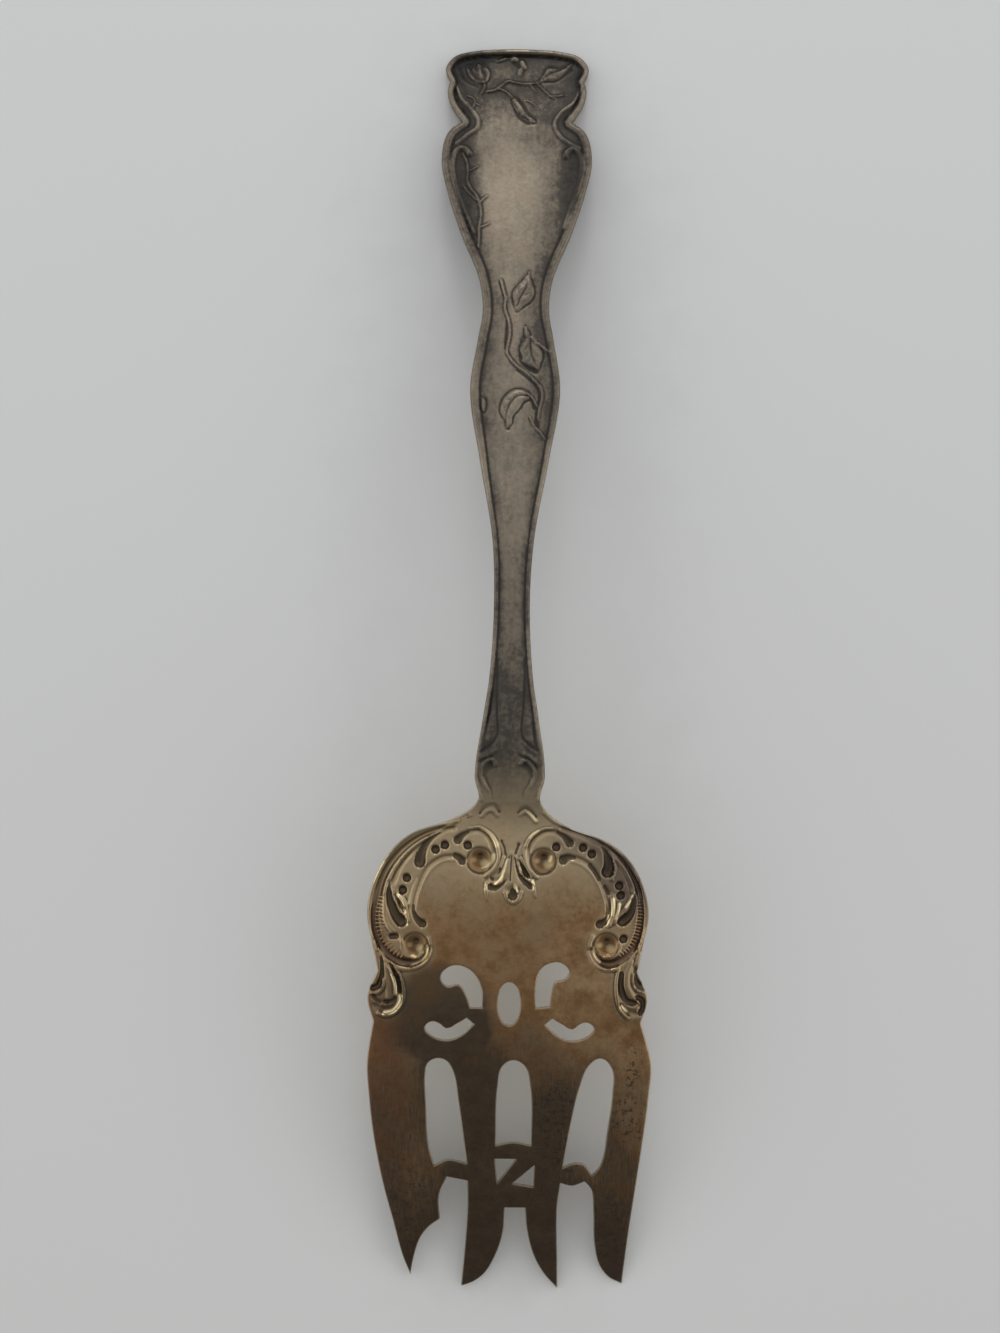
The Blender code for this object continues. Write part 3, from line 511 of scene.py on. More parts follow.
# %% Veins and shades
VEINS = {
    "upper_leaf_vein": ([(0.3, 63.9), (1.0, 65.8), (1.9, 67.4), (2.2, 69.1)], 0.5, 0.4, 0.3),
    "upper_leaf_fold": ([(0.0, 67.3), (1.0, 67.8), (1.9, 68.8)], 0.4, 0.5, 0.22),
    "middle_leaf_vein": ([(2.7, 57.7), (2.8, 55.7), (3.4, 53.9), (4.1, 52.5)], 0.5, 0.4, 0.3),
    "middle_leaf_fold": ([(1.7, 58.0), (2.2, 57.6), (2.8, 58.0)], 0.4, 0.5, 0.25),
    "low_leaf_vein": ([(2.3, 47.6), (0.6, 47.6), (-0.6, 46.5), (-1.3, 45.0), (-1.5, 43.2),
        (-1.4, 42.2)], 0.4, 0.6, 0.3),
    "end_leaf_vein": ([(4.2, 106.5), (5.7, 107.7), (7.1, 108.4), (8.9, 109.2)], 0.5, 0.5, 0.3),
    "tulip_left_line": ([(-8.4, 109.0), (-8.0, 107.8), (-7.0, 106.6)], 0.6, 0.4, 0.35),
    "tulip_middle_line": ([(-7.5, 109.6), (-7.3, 108.5), (-6.8, 108.1)], 0.7, 0.5, 0.35),
    "tulip_right_line": ([(-6.1, 109.4), (-6.2, 108.6), (-5.7, 107.6), (-5.8, 106.5)], 0.6, 0.4, 0.3),
    "bud_left_line": ([(-0.5, 102.5), (0.2, 101.0), (1.2, 99.8), (2.5, 98.8)], 0.4, 0.4, 0.22),
    "bud_right_line": ([(0.2, 103.0), (1.1, 101.8), (1.7, 100.4), (2.6, 99.5)], 0.4, 0.4, 0.22),
}
# painted shade: grooves beside leaves and stems where shade falls; their black tarnish stands in for it
SHADES = {
    "middle_leaf_shade": ([(1.3, 58.2), (1.0, 57.0), (0.9, 55.5),
        (1.3, 53.9), (2.3, 52.8), (3.7, 52.1)], 0.5, 1.2, 0.32),
    "middle_leaf_top_shade": ([(1.6, 58.4), (2.6, 57.7), (3.9, 57.4)], 0.8, 0.5, 0.28),
    "upper_leaf_shade": ([(-0.1, 66.9), (-0.5, 65.8), (-0.2, 64.7)], 0.4, 0.9, 0.24),
    "upper_leaf_tip_shade": ([(1.4, 67.8), (2.1, 68.7), (2.3, 69.7)], 0.5, 0.7, 0.24),
    "low_leaf_shade": ([(-1.7, 45.4), (-1.5, 43.6), (-1.1, 41.8)], 0.5, 0.9, 0.3),
    "low_leaf_fold_shade": ([(1.1, 45.4), (1.7, 46.5), (2.9, 46.8), (3.5, 45.4)], 0.5, 0.9, 0.26),
    "stem_shade": ([(0.4, 52.2), (2.2, 50.8), (3.9, 49.2),
        (4.4, 47.2), (3.9, 44.4), (3.9, 42.2)], 0.5, 1.1, 0.26),
    "long_stem_shade": ([(-2.7, 68.0), (-1.8, 65.0), (-1.4, 62.1),
        (-1.5, 59.5), (-1.6, 56.6), (-0.8, 54.4)], 0.4, 0.6, 0.2),
    "tulip_shade": ([(-10.3, 108.6), (-9.8, 107.2), (-8.6, 106.0), (-7.1, 105.3)], 0.9, 0.5, 0.2),
    "end_leaf_shade": ([(5.4, 106.4), (7.2, 106.7), (8.7, 107.7), (9.9, 108.7)], 0.4, 0.9, 0.24),
    "bud_shade": ([(-0.6, 102.4), (-0.3, 100.8), (0.6, 99.4), (2.2, 98.3)], 0.4, 0.8, 0.24),
    "berry_shade": ([(-0.6, 110.0), (0.3, 109.1), (0.6, 107.8)], 0.5, 0.7, 0.2),
}
handle_sheet.strike(handle_sheet.sunk, VEINS)
handle_sheet.strike(handle_sheet.sunk, SHADES)
print("veins:", len(VEINS), "shades:", len(SHADES))

# %% Side veins of the leaves
SIDE_VEIN = (0.35, 0.25, 0.16)
VEIN_PLACES = (0.15, 0.35, 0.55, 0.75)
VEIN_TURN = 0.75


def side_veins(rib, edge_knots):
    """Lines that leave a leaf's rib on both sides and stop short of its outline."""
    path = trace(rib, 0.2)
    run = unit(np.gradient(path, axis=0))
    edge = trace(edge_knots, 0.2, True)
    lines = []
    for place in VEIN_PLACES:
        spot = int(place * (len(path) - 1))
        for turn in (VEIN_TURN, -VEIN_TURN):
            across = np.array([-run[spot][1], run[spot][0]])
            way = np.cos(turn) * run[spot] + np.sin(turn) * across
            reach = np.arange(0.2, 3.0, 0.1)
            within = inside(path[spot] + reach[:, None] * way, [edge])
            end = reach[np.argmin(within)] if within[0] else 0.0
            if end > 0.5:
                lines.append([path[spot], path[spot] + 0.8 * end * way])
    return lines


fine_veins = []
for leaf in ("upper_leaf", "middle_leaf", "low_leaf", "end_leaf"):
    fine_veins += side_veins(VEINS[leaf + "_vein"][0], LEAVES[leaf][0])
for line in fine_veins:
    handle_sheet.stroke(handle_sheet.sunk, line, *SIDE_VEIN)
print("side veins:", len(fine_veins))

# %% Petals and berries
PETALS = {
    "tulip_left_petal": ([(-9.0, 108.7), (-8.5, 107.4), (-7.3, 106.4), (-6.1, 106.0)], 0.6, 0.7, 0.22),
    "tulip_right_petal": ([(-5.6, 109.0), (-5.0, 108.1), (-5.2, 106.9), (-5.6, 106.2)], 0.6, 0.6, 0.2),
    "tulip_heart": ([(-6.8, 108.1), (-6.4, 107.1)], 1.0, 1.1, 0.2),
    "hanging_bud_heart": ([(0.1, 102.2), (0.8, 100.9)], 1.0, 1.2, 0.2),
    "top_berry_a": ([(-0.6, 110.8), (-0.2, 110.7)], 1.4, 1.4, 0.5),
    "top_berry_b": ([(1.0, 110.1), (1.3, 109.2)], 1.2, 1.3, 0.5),
    "top_berry_c": ([(0.7, 108.6), (0.6, 107.9)], 1.2, 1.1, 0.5),
    "leaf_to_rim": ([(2.8, 58.3), (4.0, 57.1), (5.3, 56.2), (6.1, 55.6)], 0.6, 0.7, 0.3),
}
petals = np.zeros(up.shape)
handle_sheet.strike(petals, PETALS)
up += petals
print("petals and berries:", len(PETALS))

# %% [markdown]
# ## Scrollwork of the head
# From the back the head's pattern is seen hollow. Flutes, scrolls and cups are wide dishes that a cloth
# reaches, so they stay golden; teardrops, knobs and dots are narrow and have gone black; thin crests
# stand between them. The two halves of the real die differ, so each has its own knots, measured on the
# photograph.

# %% Flutes of the head
FLUTES = {
    "left_outer_flute": ([(-9.7, -27.1), (-12.4, -27.4), (-15.1, -28.4), (-17.7, -30.1), (-19.8, -32.2),
        (-21.3, -34.5), (-22.4, -37.2), (-23.0, -40.0), (-23.4, -42.5), (-23.1, -45.1), (-22.2, -47.6),
        (-20.5, -49.5), (-18.4, -50.5), (-16.5, -50.5), (-15.0, -49.5), (-14.3, -48.1)], 0.9, 1.9, 0.75),
    "left_inner_flute": ([(-11.1, -27.6), (-13.8, -29.0), (-16.1, -30.6), (-17.9, -32.3), (-19.3, -34.3),
        (-20.2, -36.6)], 0.6, 1.2, 0.35),
    "left_volute_groove": ([(-8.4, -28.4), (-7.0, -27.6), (-5.7, -27.4), (-4.5, -28.0), (-3.6, -29.2),
        (-3.1, -30.7), (-2.9, -32.3), (-3.6, -33.8), (-4.8, -34.7)], 1.0, 1.2, 0.34),
    "left_plate_scroll": ([(-10.1, -31.9), (-11.6, -32.1), (-13.1, -32.9), (-14.3, -34.0), (-15.3, -35.8),
        (-16.0, -37.8), (-16.5, -39.8), (-16.7, -41.5), (-16.2, -42.9)], 0.9, 1.1, 0.36),
    "left_ear_bowl": ([(-23.1, -58.5), (-21.8, -59.2), (-20.4, -58.8), (-19.2, -57.3)], 1.6, 1.7, 0.4),
    "right_outer_flute": ([(8.6, -27.0), (11.7, -28.0), (14.6, -29.3), (17.2, -31.0), (19.4, -32.9),
        (20.9, -35.2), (22.0, -37.8), (22.5, -40.4), (22.5, -43.2), (21.9, -46.0), (20.8, -48.3),
        (19.1, -49.9), (17.0, -50.6), (15.1, -50.0), (14.2, -48.4)], 0.9, 1.9, 0.75),
    "right_inner_flute": ([(15.2, -30.0), (17.1, -31.2), (18.7, -32.9), (19.9, -35.0),
        (20.8, -37.3)], 0.6, 1.2, 0.35),
    "right_volute_groove": ([(8.8, -28.4), (7.6, -27.7), (6.3, -27.5), (4.9, -28.0), (3.8, -29.1),
        (3.1, -30.5), (3.0, -32.1), (3.6, -33.6), (4.6, -34.6)], 1.0, 1.1, 0.34),
    "right_plate_scroll": ([(10.6, -31.9), (12.1, -32.4), (13.5, -33.4), (14.7, -35.0), (15.7, -36.9),
        (16.4, -39.0), (16.8, -40.7), (16.7, -42.3)], 0.9, 1.1, 0.36),
    "right_ear_bowl": ([(19.5, -58.0), (20.3, -59.1), (21.6, -59.4)], 1.5, 1.5, 0.4),
}
head_sheet.strike(head_sheet.dished, FLUTES)
print("flutes:", len(FLUTES))

# %% [markdown]
# ## Teardrops and fine lines
# Teardrops, knobs and the grooves of the ears are narrow, steep hollows. They are strokes like the
# flutes, only with steeper sides, so one more set of knots is enough. The palmette's fine lines are
# softer.

# %% Teardrops of the head
STEEP = 3.0
DROPS = {
    "left_upper_drop": ([(-12.1, -27.7), (-13.8, -29.1), (-14.9, -30.5), (-15.5, -32.1),
        (-15.6, -33.0)], 0.4, 2.2, 0.8),
    "left_lower_drop": ([(-20.9, -36.4), (-20.9, -38.7), (-20.4, -40.7), (-19.6, -42.5),
        (-18.8, -43.4)], 0.5, 2.2, 0.9),
    "left_lower_drop_side": ([(-19.8, -38.8), (-19.1, -40.2), (-18.4, -41.4)], 0.5, 1.1, 0.5),
    "left_volute_drop": ([(-9.1, -29.1), (-8.3, -28.3), (-7.4, -27.7)], 1.7, 0.8, 0.6),
    "left_scroll_knob_top": ([(-9.5, -31.8), (-8.9, -32.1), (-8.3, -32.7)], 1.1, 1.6, 0.65),
    "left_scroll_knob_low": ([(-16.6, -40.6), (-16.5, -42.0), (-15.8, -43.2),
        (-15.1, -43.7)], 0.6, 1.6, 0.65),
    "left_long_dot": ([(-20.5, -46.1), (-19.6, -46.0)], 1.1, 1.1, 0.5),
    "left_cup_line": ([(-7.0, -33.5), (-6.1, -34.5), (-4.9, -34.8), (-3.7, -34.4)], 0.5, 0.6, 0.2),
    "left_palm_hollow": ([(-1.9, -34.1), (-2.6, -34.9), (-3.1, -35.7)], 0.7, 0.9, 0.4),
    "left_palm_crescent": ([(-1.2, -36.2), (-2.0, -37.0), (-2.9, -37.4), (-3.5, -37.1)], 0.6, 1.3, 0.45),
    "left_palm_line": ([(-1.6, -29.2), (-1.1, -30.4), (-0.9, -31.6)], 0.5, 0.5, 0.18),
    "left_ear_groove": ([(-22.2, -49.9), (-22.1, -51.7), (-22.2, -53.3), (-22.6, -54.5)], 0.6, 1.0, 0.6),
    "left_ear_curl_hollow": ([(-23.8, -55.3), (-23.2, -55.1), (-22.6, -54.7)], 1.0, 0.9, 0.6),
    "left_ear_under": ([(-23.6, -56.8), (-23.1, -57.4), (-22.4, -57.7)], 1.0, 0.8, 0.4),
    "left_ear_inner": ([(-20.7, -50.9), (-19.6, -52.8), (-19.1, -54.6), (-19.3, -56.4), (-20.4, -57.5),
        (-21.6, -57.7)], 0.6, 0.8, 0.5),
    "right_upper_drop": ([(15.0, -29.1), (16.0, -30.6), (16.6, -32.4), (16.7, -33.8),
        (16.5, -34.5)], 0.5, 2.2, 0.8),
    "right_lower_drop": ([(21.2, -38.3), (21.2, -40.1), (20.8, -41.5), (20.0, -42.6),
        (19.3, -43.1)], 0.5, 2.0, 0.9),
    "right_volute_drop": ([(10.0, -29.5), (9.1, -28.5), (8.0, -27.7)], 1.7, 0.8, 0.6),
    "right_scroll_knob_top": ([(8.9, -32.4), (9.7, -32.0), (10.8, -32.0)], 1.9, 0.9, 0.65),
    "right_scroll_dark_a": ([(13.5, -33.3), (14.4, -34.5), (15.1, -35.7)], 0.9, 1.0, 0.4),
    "right_scroll_dark_b": ([(16.1, -37.1), (16.7, -38.1)], 0.8, 0.9, 0.4),
    "right_scroll_knob_low": ([(16.6, -42.3), (16.1, -43.1), (15.4, -43.6)], 0.6, 1.7, 0.65),
    "right_cup_line": ([(2.4, -30.4), (2.7, -32.1), (3.4, -33.4), (4.3, -34.5), (5.3, -34.9),
        (6.3, -34.6), (7.0, -33.8)], 0.5, 0.6, 0.25),
    "right_palm_cut_a": ([(1.2, -32.6), (2.1, -33.8), (3.0, -35.3)], 0.6, 1.0, 0.4),
    "right_palm_cut_b": ([(1.7, -35.3), (2.4, -36.2), (3.4, -37.0)], 0.7, 1.2, 0.45),
    "right_palm_line": ([(1.3, -29.8), (1.0, -30.6), (0.8, -31.2)], 0.7, 0.6, 0.25),
    "middle_palm_drop": ([(0.3, -36.9), (0.3, -37.8), (0.3, -38.6)], 0.6, 1.8, 0.42),
    "right_ear_groove": ([(19.3, -52.3), (19.2, -54.3), (19.6, -56.1), (20.3, -57.3),
        (21.4, -57.6)], 0.8, 1.3, 0.6),
    "right_ear_comma": ([(21.7, -51.1), (21.7, -53.1), (22.2, -54.3), (23.0, -54.8)], 0.6, 1.5, 0.7),
    "right_ear_curl_hollow": ([(22.2, -56.6), (23.0, -57.1), (23.1, -58.3),
        (22.7, -59.5)], 0.9, 1.0, 0.6),
    # painted dark reflection: a short sunk stroke that turns black on the left shoulder's edge
    "left_shoulder_dark_reflection": ([(-8.7, -25.6), (-8.1, -25.3), (-7.4, -25.0)], 0.7, 0.8, 0.25),
    "left_neck_arc": ([(-5.3, -24.4), (-4.8, -23.6), (-4.0, -23.1), (-3.1, -23.0), (-2.5, -23.4),
        (-2.0, -24.1)], 0.8, 0.8, 0.12),
    "right_neck_arc": ([(1.3, -24.3), (1.8, -23.7), (2.5, -23.5), (3.2, -23.9),
        (4.1, -25.0)], 0.8, 0.8, 0.12),
}
head_sheet.strike(head_sheet.sunk, DROPS, STEEP)
print("teardrops and lines:", len(DROPS))

# %% Lines of the palmette
PALM_LINES = {
    "palm_left_line": ([(-0.3, -31.9), (-0.5, -33.5), (-1.0, -35.2), (-1.7, -36.6)], 0.3, 0.4, 0.28),
    "palm_middle_line": ([(0.1, -31.7), (0.0, -33.8), (-0.1, -35.9)], 0.3, 0.35, 0.28),
    "palm_right_line": ([(0.7, -31.9), (1.0, -33.8), (1.6, -35.5), (2.3, -36.7)], 0.3, 0.4, 0.28),
}
head_sheet.strike(head_sheet.sunk, PALM_LINES)
print("palmette lines:", len(PALM_LINES))

# %% [markdown]
# ## Dots and cups
# The dots were punched, and the four large cups are the hearts of the scrolls. Both are round, so a
# centre and a radius say all. A cup is built up from several rounds: its bowl, a painted shade in its upper
# half and a dark spot near its middle, which are sunk rounds whose black tarnish stands in for shade, the
# patch that kept its gold, two painted highlight spots, and a thin ring as a closed stroke.

# %% Dots of the head
DOT_RADIUS, DOT_DEPTH, DOT_POWER = 0.8, 0.7, 4.0
DOTS = [(-7.4, -30.0), (-11.3, -30.0), (-12.9, -30.8), (-17.8, -35.8), (-18.5, -37.9)]
DOTS += [(7.7, -30.2), (12.3, -30.3), (13.8, -31.4), (18.6, -36.9), (18.9, -38.6), (19.5, -46.2)]
for dot in DOTS:
    head_sheet.cup(head_sheet.sunk, dot, DOT_RADIUS, DOT_DEPTH, DOT_POWER)
print("dots:", len(DOTS))

# %% Cups of the head
CUPS = [(-5.3, -32.6), (-16.3, -47.6), (5.5, -32.7), (16.5, -47.4)]
# the second and third rounds are painted shade, sunk so that they turn black; the last two are painted
# highlights
CUP_ROUNDS = [
    (head_sheet.dished, (0.0, 0.0), 2.15, 0.8, 2.0),
    (head_sheet.sunk, (0.0, 0.45), 1.95, 0.5, 4.0),
    (head_sheet.sunk, (0.1, 0.7), 0.9, 1.0, 2.0),
    (head_sheet.gilded, (0.0, 0.0), 2.3, 1.0, 6.0),
    (head_sheet.polished, (-1.0, 0.1), 0.6, 0.3, 2.0),
    (head_sheet.polished, (0.8, -0.5), 0.9, 0.4, 2.0),
]
RING_RADIUS = 2.2
RING_STROKE = (0.5, 0.5, 0.28)
ring = np.array([(np.cos(turn), np.sin(turn)) for turn in np.linspace(0.0, 2.0 * np.pi, 25)])
for cup in np.array(CUPS):
    for layer, shift, radius, depth, power in CUP_ROUNDS:
        head_sheet.cup(layer, cup + shift, radius, depth, power)
    head_sheet.stroke(head_sheet.sunk, cup + RING_RADIUS * ring, *RING_STROKE)
print("cups:", len(CUPS))

# %% [markdown]
# ## Crests and painted highlights
# Thin crests stand between the hollows; they are strokes in the raised layer. Some of them, and some
# rims, carry painted highlights: light gold strokes that change no height and are only noted for the
# gold's finish.

# %% Crests of the head
CRESTS = {
    "left_edge_line": ([(-7.0, -24.8), (-9.6, -25.9), (-12.8, -26.5), (-15.9, -27.4), (-18.6, -29.2),
        (-21.0, -31.9), (-22.9, -35.4), (-24.1, -39.1), (-24.3, -42.4), (-24.0, -45.4),
        (-22.8, -48.3)], 0.7, 0.9, 0.25),
    "left_flute_crest": ([(-10.1, -26.3), (-12.8, -27.9), (-15.5, -29.5), (-17.8, -31.5), (-19.5, -33.6),
        (-20.9, -36.0), (-21.6, -38.5)], 0.6, 1.0, 0.32),
    "left_smooth_band": ([(-21.2, -36.9), (-21.6, -39.7), (-21.6, -42.2), (-21.0, -44.1),
        (-20.2, -45.1)], 0.7, 1.2, 0.3),
    "left_lower_drop_ridge": ([(-20.2, -37.9), (-19.7, -39.7), (-19.0, -41.0),
        (-18.2, -42.1)], 0.5, 0.8, 0.35),
    "left_bright_boss": ([(-19.1, -39.0), (-18.4, -39.8), (-18.0, -41.4), (-17.6, -43.3)], 1.4, 0.8, 0.5),
    "left_volute_crest": ([(-7.0, -27.1), (-5.5, -26.9), (-4.1, -27.6), (-3.0, -28.7), (-2.4, -30.2),
        (-2.2, -32.1), (-2.9, -33.8), (-4.1, -34.9)], 0.7, 1.3, 0.42),
    "left_cup_rim": ([(-18.6, -46.8), (-18.4, -48.4), (-17.6, -49.4), (-16.5, -49.8)], 0.8, 0.9, 0.35),
    "left_ring_rim": ([(-13.9, -46.3), (-13.7, -48.3), (-14.4, -50.1), (-15.8, -51.2), (-17.7, -51.7),
        (-19.8, -51.4), (-21.7, -50.1)], 0.8, 1.0, 0.26),
    "left_plate_rim": ([(-9.5, -32.5), (-11.6, -32.7), (-13.3, -33.9), (-14.5, -35.6), (-15.5, -37.7),
        (-16.2, -39.8), (-16.4, -41.3)], 0.7, 0.9, 0.10),
    "left_palm_lobe_a": ([(-1.2, -31.8), (-1.9, -33.5), (-2.9, -35.4)], 0.8, 1.0, 0.4),
    "left_palm_lobe_b": ([(-0.4, -32.4), (-0.7, -34.3), (-1.5, -35.9), (-2.2, -36.6)], 0.8, 1.1, 0.42),
    "left_palm_bud": ([(-4.0, -36.5), (-4.1, -36.9)], 1.1, 1.0, 0.35),
    "left_palm_tip": ([(-4.1, -37.0), (-4.2, -38.0), (-4.0, -39.4)], 0.9, 0.5, 0.25),
    "left_tongue": ([(-21.7, -50.6), (-21.2, -53.1), (-20.9, -55.2), (-20.7, -56.8)], 0.8, 1.7, 0.22),
    "left_tongue_ridge": ([(-21.1, -50.8), (-20.3, -52.7), (-19.8, -54.4),
        (-19.7, -56.2)], 0.8, 1.1, 0.45),
    "left_ear_rim": ([(-20.2, -50.9), (-19.0, -53.0), (-18.4, -55.1), (-18.4, -56.9), (-19.0, -58.5),
        (-20.0, -59.6), (-21.4, -60.1), (-22.8, -59.7)], 0.7, 0.9, 0.38),
    "left_ear_curl": ([(-23.8, -56.1), (-23.1, -56.2), (-22.3, -55.5), (-21.9, -54.5),
        (-22.1, -53.7)], 0.8, 0.8, 0.4),
    "right_edge_line": ([(5.5, -24.2), (7.6, -25.9), (10.9, -27.1), (13.9, -28.2), (16.7, -29.8),
        (19.0, -31.9), (20.9, -34.3), (22.3, -36.9), (22.9, -39.7), (23.1, -42.5), (22.7, -45.7),
        (21.9, -48.3)], 0.7, 0.9, 0.25),
    "right_flute_crest": ([(13.4, -28.7), (15.7, -30.0), (17.6, -31.6), (19.2, -33.6), (20.4, -35.9),
        (21.2, -38.1)], 0.6, 1.0, 0.32),
    "right_upper_drop_ridge": ([(16.6, -30.8), (17.4, -32.4), (17.8, -34.0),
        (17.3, -35.7)], 0.5, 0.8, 0.3),
    "right_lower_drop_ridge": ([(20.8, -38.8), (20.0, -40.4), (19.0, -41.8),
        (18.4, -43.0)], 0.6, 0.8, 0.35),
    "right_bright_boss_a": ([(17.4, -38.6), (17.6, -40.5), (17.4, -42.5), (16.9, -43.5)], 0.8, 1.3, 0.45),
    "right_bright_boss_b": ([(18.6, -40.2), (18.3, -41.8), (17.9, -43.2)], 0.8, 1.0, 0.35),
    "right_volute_crest": ([(6.9, -27.0), (5.6, -27.1), (4.3, -27.8), (3.2, -28.7), (2.6, -30.0),
        (2.5, -31.7), (3.1, -33.6), (4.3, -35.2)], 0.7, 1.1, 0.36),
    "right_ring_rim": ([(14.1, -45.6), (13.7, -47.3), (14.1, -49.1), (15.1, -50.6), (16.5, -51.5),
        (18.6, -51.4)], 0.8, 1.0, 0.26),
    "right_cup_rim": ([(18.7, -46.9), (18.7, -48.3), (17.5, -49.3), (16.2, -49.5)], 0.8, 0.9, 0.3),
    "right_plate_rim": ([(10.2, -32.6), (12.0, -33.2), (13.4, -34.3), (14.6, -35.8), (15.6, -37.8),
        (16.3, -39.7), (16.4, -41.4)], 0.7, 0.9, 0.10),
    "right_palm_lobe_a": ([(0.9, -31.9), (1.6, -33.8), (2.2, -35.2), (3.3, -36.0),
        (3.7, -36.7)], 0.7, 0.9, 0.4),
    "right_palm_lobe_b": ([(1.7, -32.1), (2.6, -33.6), (3.4, -35.2)], 0.8, 0.9, 0.3),
    "right_palm_tip": ([(3.7, -36.5), (4.0, -37.6), (4.2, -38.8)], 0.9, 0.5, 0.28),
    "middle_palm_column": ([(0.1, -31.2), (0.2, -33.8), (0.3, -36.4)], 1.0, 2.6, 0.3),
    "middle_palm_rim": ([(-1.0, -38.0), (-0.4, -39.2), (0.4, -39.8), (1.3, -39.2),
        (1.8, -37.9)], 0.8, 0.8, 0.25),
    "middle_palm_glint": ([(0.6, -37.0), (1.1, -38.0)], 0.7, 0.7, 0.35),
    "right_tongue": ([(20.9, -50.2), (20.2, -52.5), (20.2, -54.5), (20.9, -56.1)], 1.1, 1.7, 0.32),
    "right_ear_rim": ([(18.8, -51.1), (18.4, -53.7), (18.5, -56.2), (19.1, -58.4),
        (20.5, -60.2)], 0.7, 0.9, 0.38),
    "right_comma_lip": ([(21.4, -52.5), (21.5, -54.0), (22.0, -55.1), (22.9, -55.5)], 0.7, 0.8, 0.4),
    "right_curl_ridge": ([(22.0, -57.2), (22.6, -57.9), (22.4, -58.6), (22.1, -59.3)], 0.7, 0.7, 0.32),
    "right_ear_neck": ([(22.4, -48.7), (22.1, -49.9), (21.8, -50.9)], 0.9, 1.0, 0.3),
    "left_neck_crest": ([(-5.0, -24.9), (-4.4, -24.2), (-3.6, -23.9), (-2.9, -24.1),
        (-2.4, -24.8)], 0.9, 0.8, 0.18),
    "right_neck_crest": ([(1.5, -24.6), (2.1, -24.2), (2.7, -24.2), (3.3, -24.7),
        (4.2, -25.7)], 0.8, 1.0, 0.2),
}
head_sheet.strike(head_sheet.raised, CRESTS)
print("crests:", len(CRESTS))

# %% Painted highlights of the head
PAINTED_GLINTS = {
    "left_boss_glint": ([(-19.2, -38.8), (-18.7, -39.5), (-18.4, -40.5)], 0.9, 0.9),
    "left_boss_line": ([(-18.2, -41.0), (-17.9, -42.6), (-17.7, -44.0)], 0.5, 0.5),
    "left_volute_glint": ([(-5.0, -27.2), (-4.0, -27.7), (-3.1, -28.7), (-2.5, -29.9)], 0.6, 1.0),
    "left_petal_glint": ([(-0.7, -32.4), (-1.2, -34.0), (-1.8, -35.7), (-2.7, -36.6)], 0.5, 0.6),
    "left_bud_glint": ([(-4.1, -36.8), (-4.3, -37.5)], 0.7, 0.6),
    "right_bar_glint": ([(17.6, -39.2), (17.6, -40.4), (17.4, -41.8)], 0.8, 0.8),
    "right_low_bar_glint": ([(16.9, -42.1), (16.8, -43.0), (16.6, -43.9)], 0.6, 0.6),
    "right_side_bar_glint": ([(18.7, -40.0), (18.5, -41.2), (18.1, -42.5)], 0.6, 0.6),
    "right_drop_glint": ([(21.2, -38.1), (20.5, -39.5), (19.8, -40.6)], 0.4, 0.5),
    "right_cup_glint": ([(6.8, -31.9), (6.6, -32.6)], 0.8, 0.8),
    "right_neck_glint": ([(2.7, -24.2), (3.3, -24.7), (4.2, -25.7)], 0.4, 0.6),
    "left_cup_glint": ([(-4.9, -33.9), (-3.9, -33.5), (-3.2, -32.6), (-3.0, -31.6)], 0.4, 0.8),
    "lower_left_cup_glint": ([(-17.0, -49.4), (-16.0, -49.6), (-15.1, -48.8)], 0.5, 0.7),
    "left_scroll_glint": ([(-16.0, -35.8), (-16.9, -37.9), (-17.4, -40.1)], 0.4, 0.7),
    "right_volute_glint": ([(3.2, -28.6), (3.7, -28.0), (4.6, -27.4)], 0.5, 0.5),
    "middle_palm_glint": ([(0.7, -36.7), (1.1, -37.8)], 0.6, 0.5),
    "right_tip_glint": ([(3.8, -35.9), (3.9, -37.4)], 0.6, 0.5),
    "left_edge_glint": ([(-23.6, -36.6), (-22.8, -34.9), (-21.7, -33.1)], 0.5, 0.5),
    "left_ring_glint": ([(-14.3, -47.6), (-14.3, -49.2), (-15.1, -50.4), (-16.9, -51.2)], 0.6, 0.6),
    "right_ring_glint": ([(14.4, -47.7), (14.6, -49.1), (15.5, -50.2)], 0.5, 0.5),
    "left_bowl_glint": ([(-21.6, -59.6), (-20.2, -59.3), (-19.2, -58.0), (-18.9, -56.6)], 0.9, 1.0),
    "left_tongue_glint": ([(-20.5, -52.7), (-19.8, -54.4), (-19.5, -56.4)], 0.4, 0.6),
    "right_bowl_glint": ([(19.3, -58.2), (20.3, -58.9)], 0.7, 0.7),
}
for knots, root, width in PAINTED_GLINTS.values():
    head_sheet.stroke(head_sheet.polished, knots, root, width, 1.0)
print("glints:", len(PAINTED_GLINTS))

# %% [markdown]
# ## Paths of the stems and ribs
# Thin stems join the leaves on the handle, and a row of short ribs fills the bend beside each lower cup.
# They are made as pieces of their own further on. Their paths are needed here already, because tarnish
# gathers along them, so their shapes are noted in the sheets' last layer.

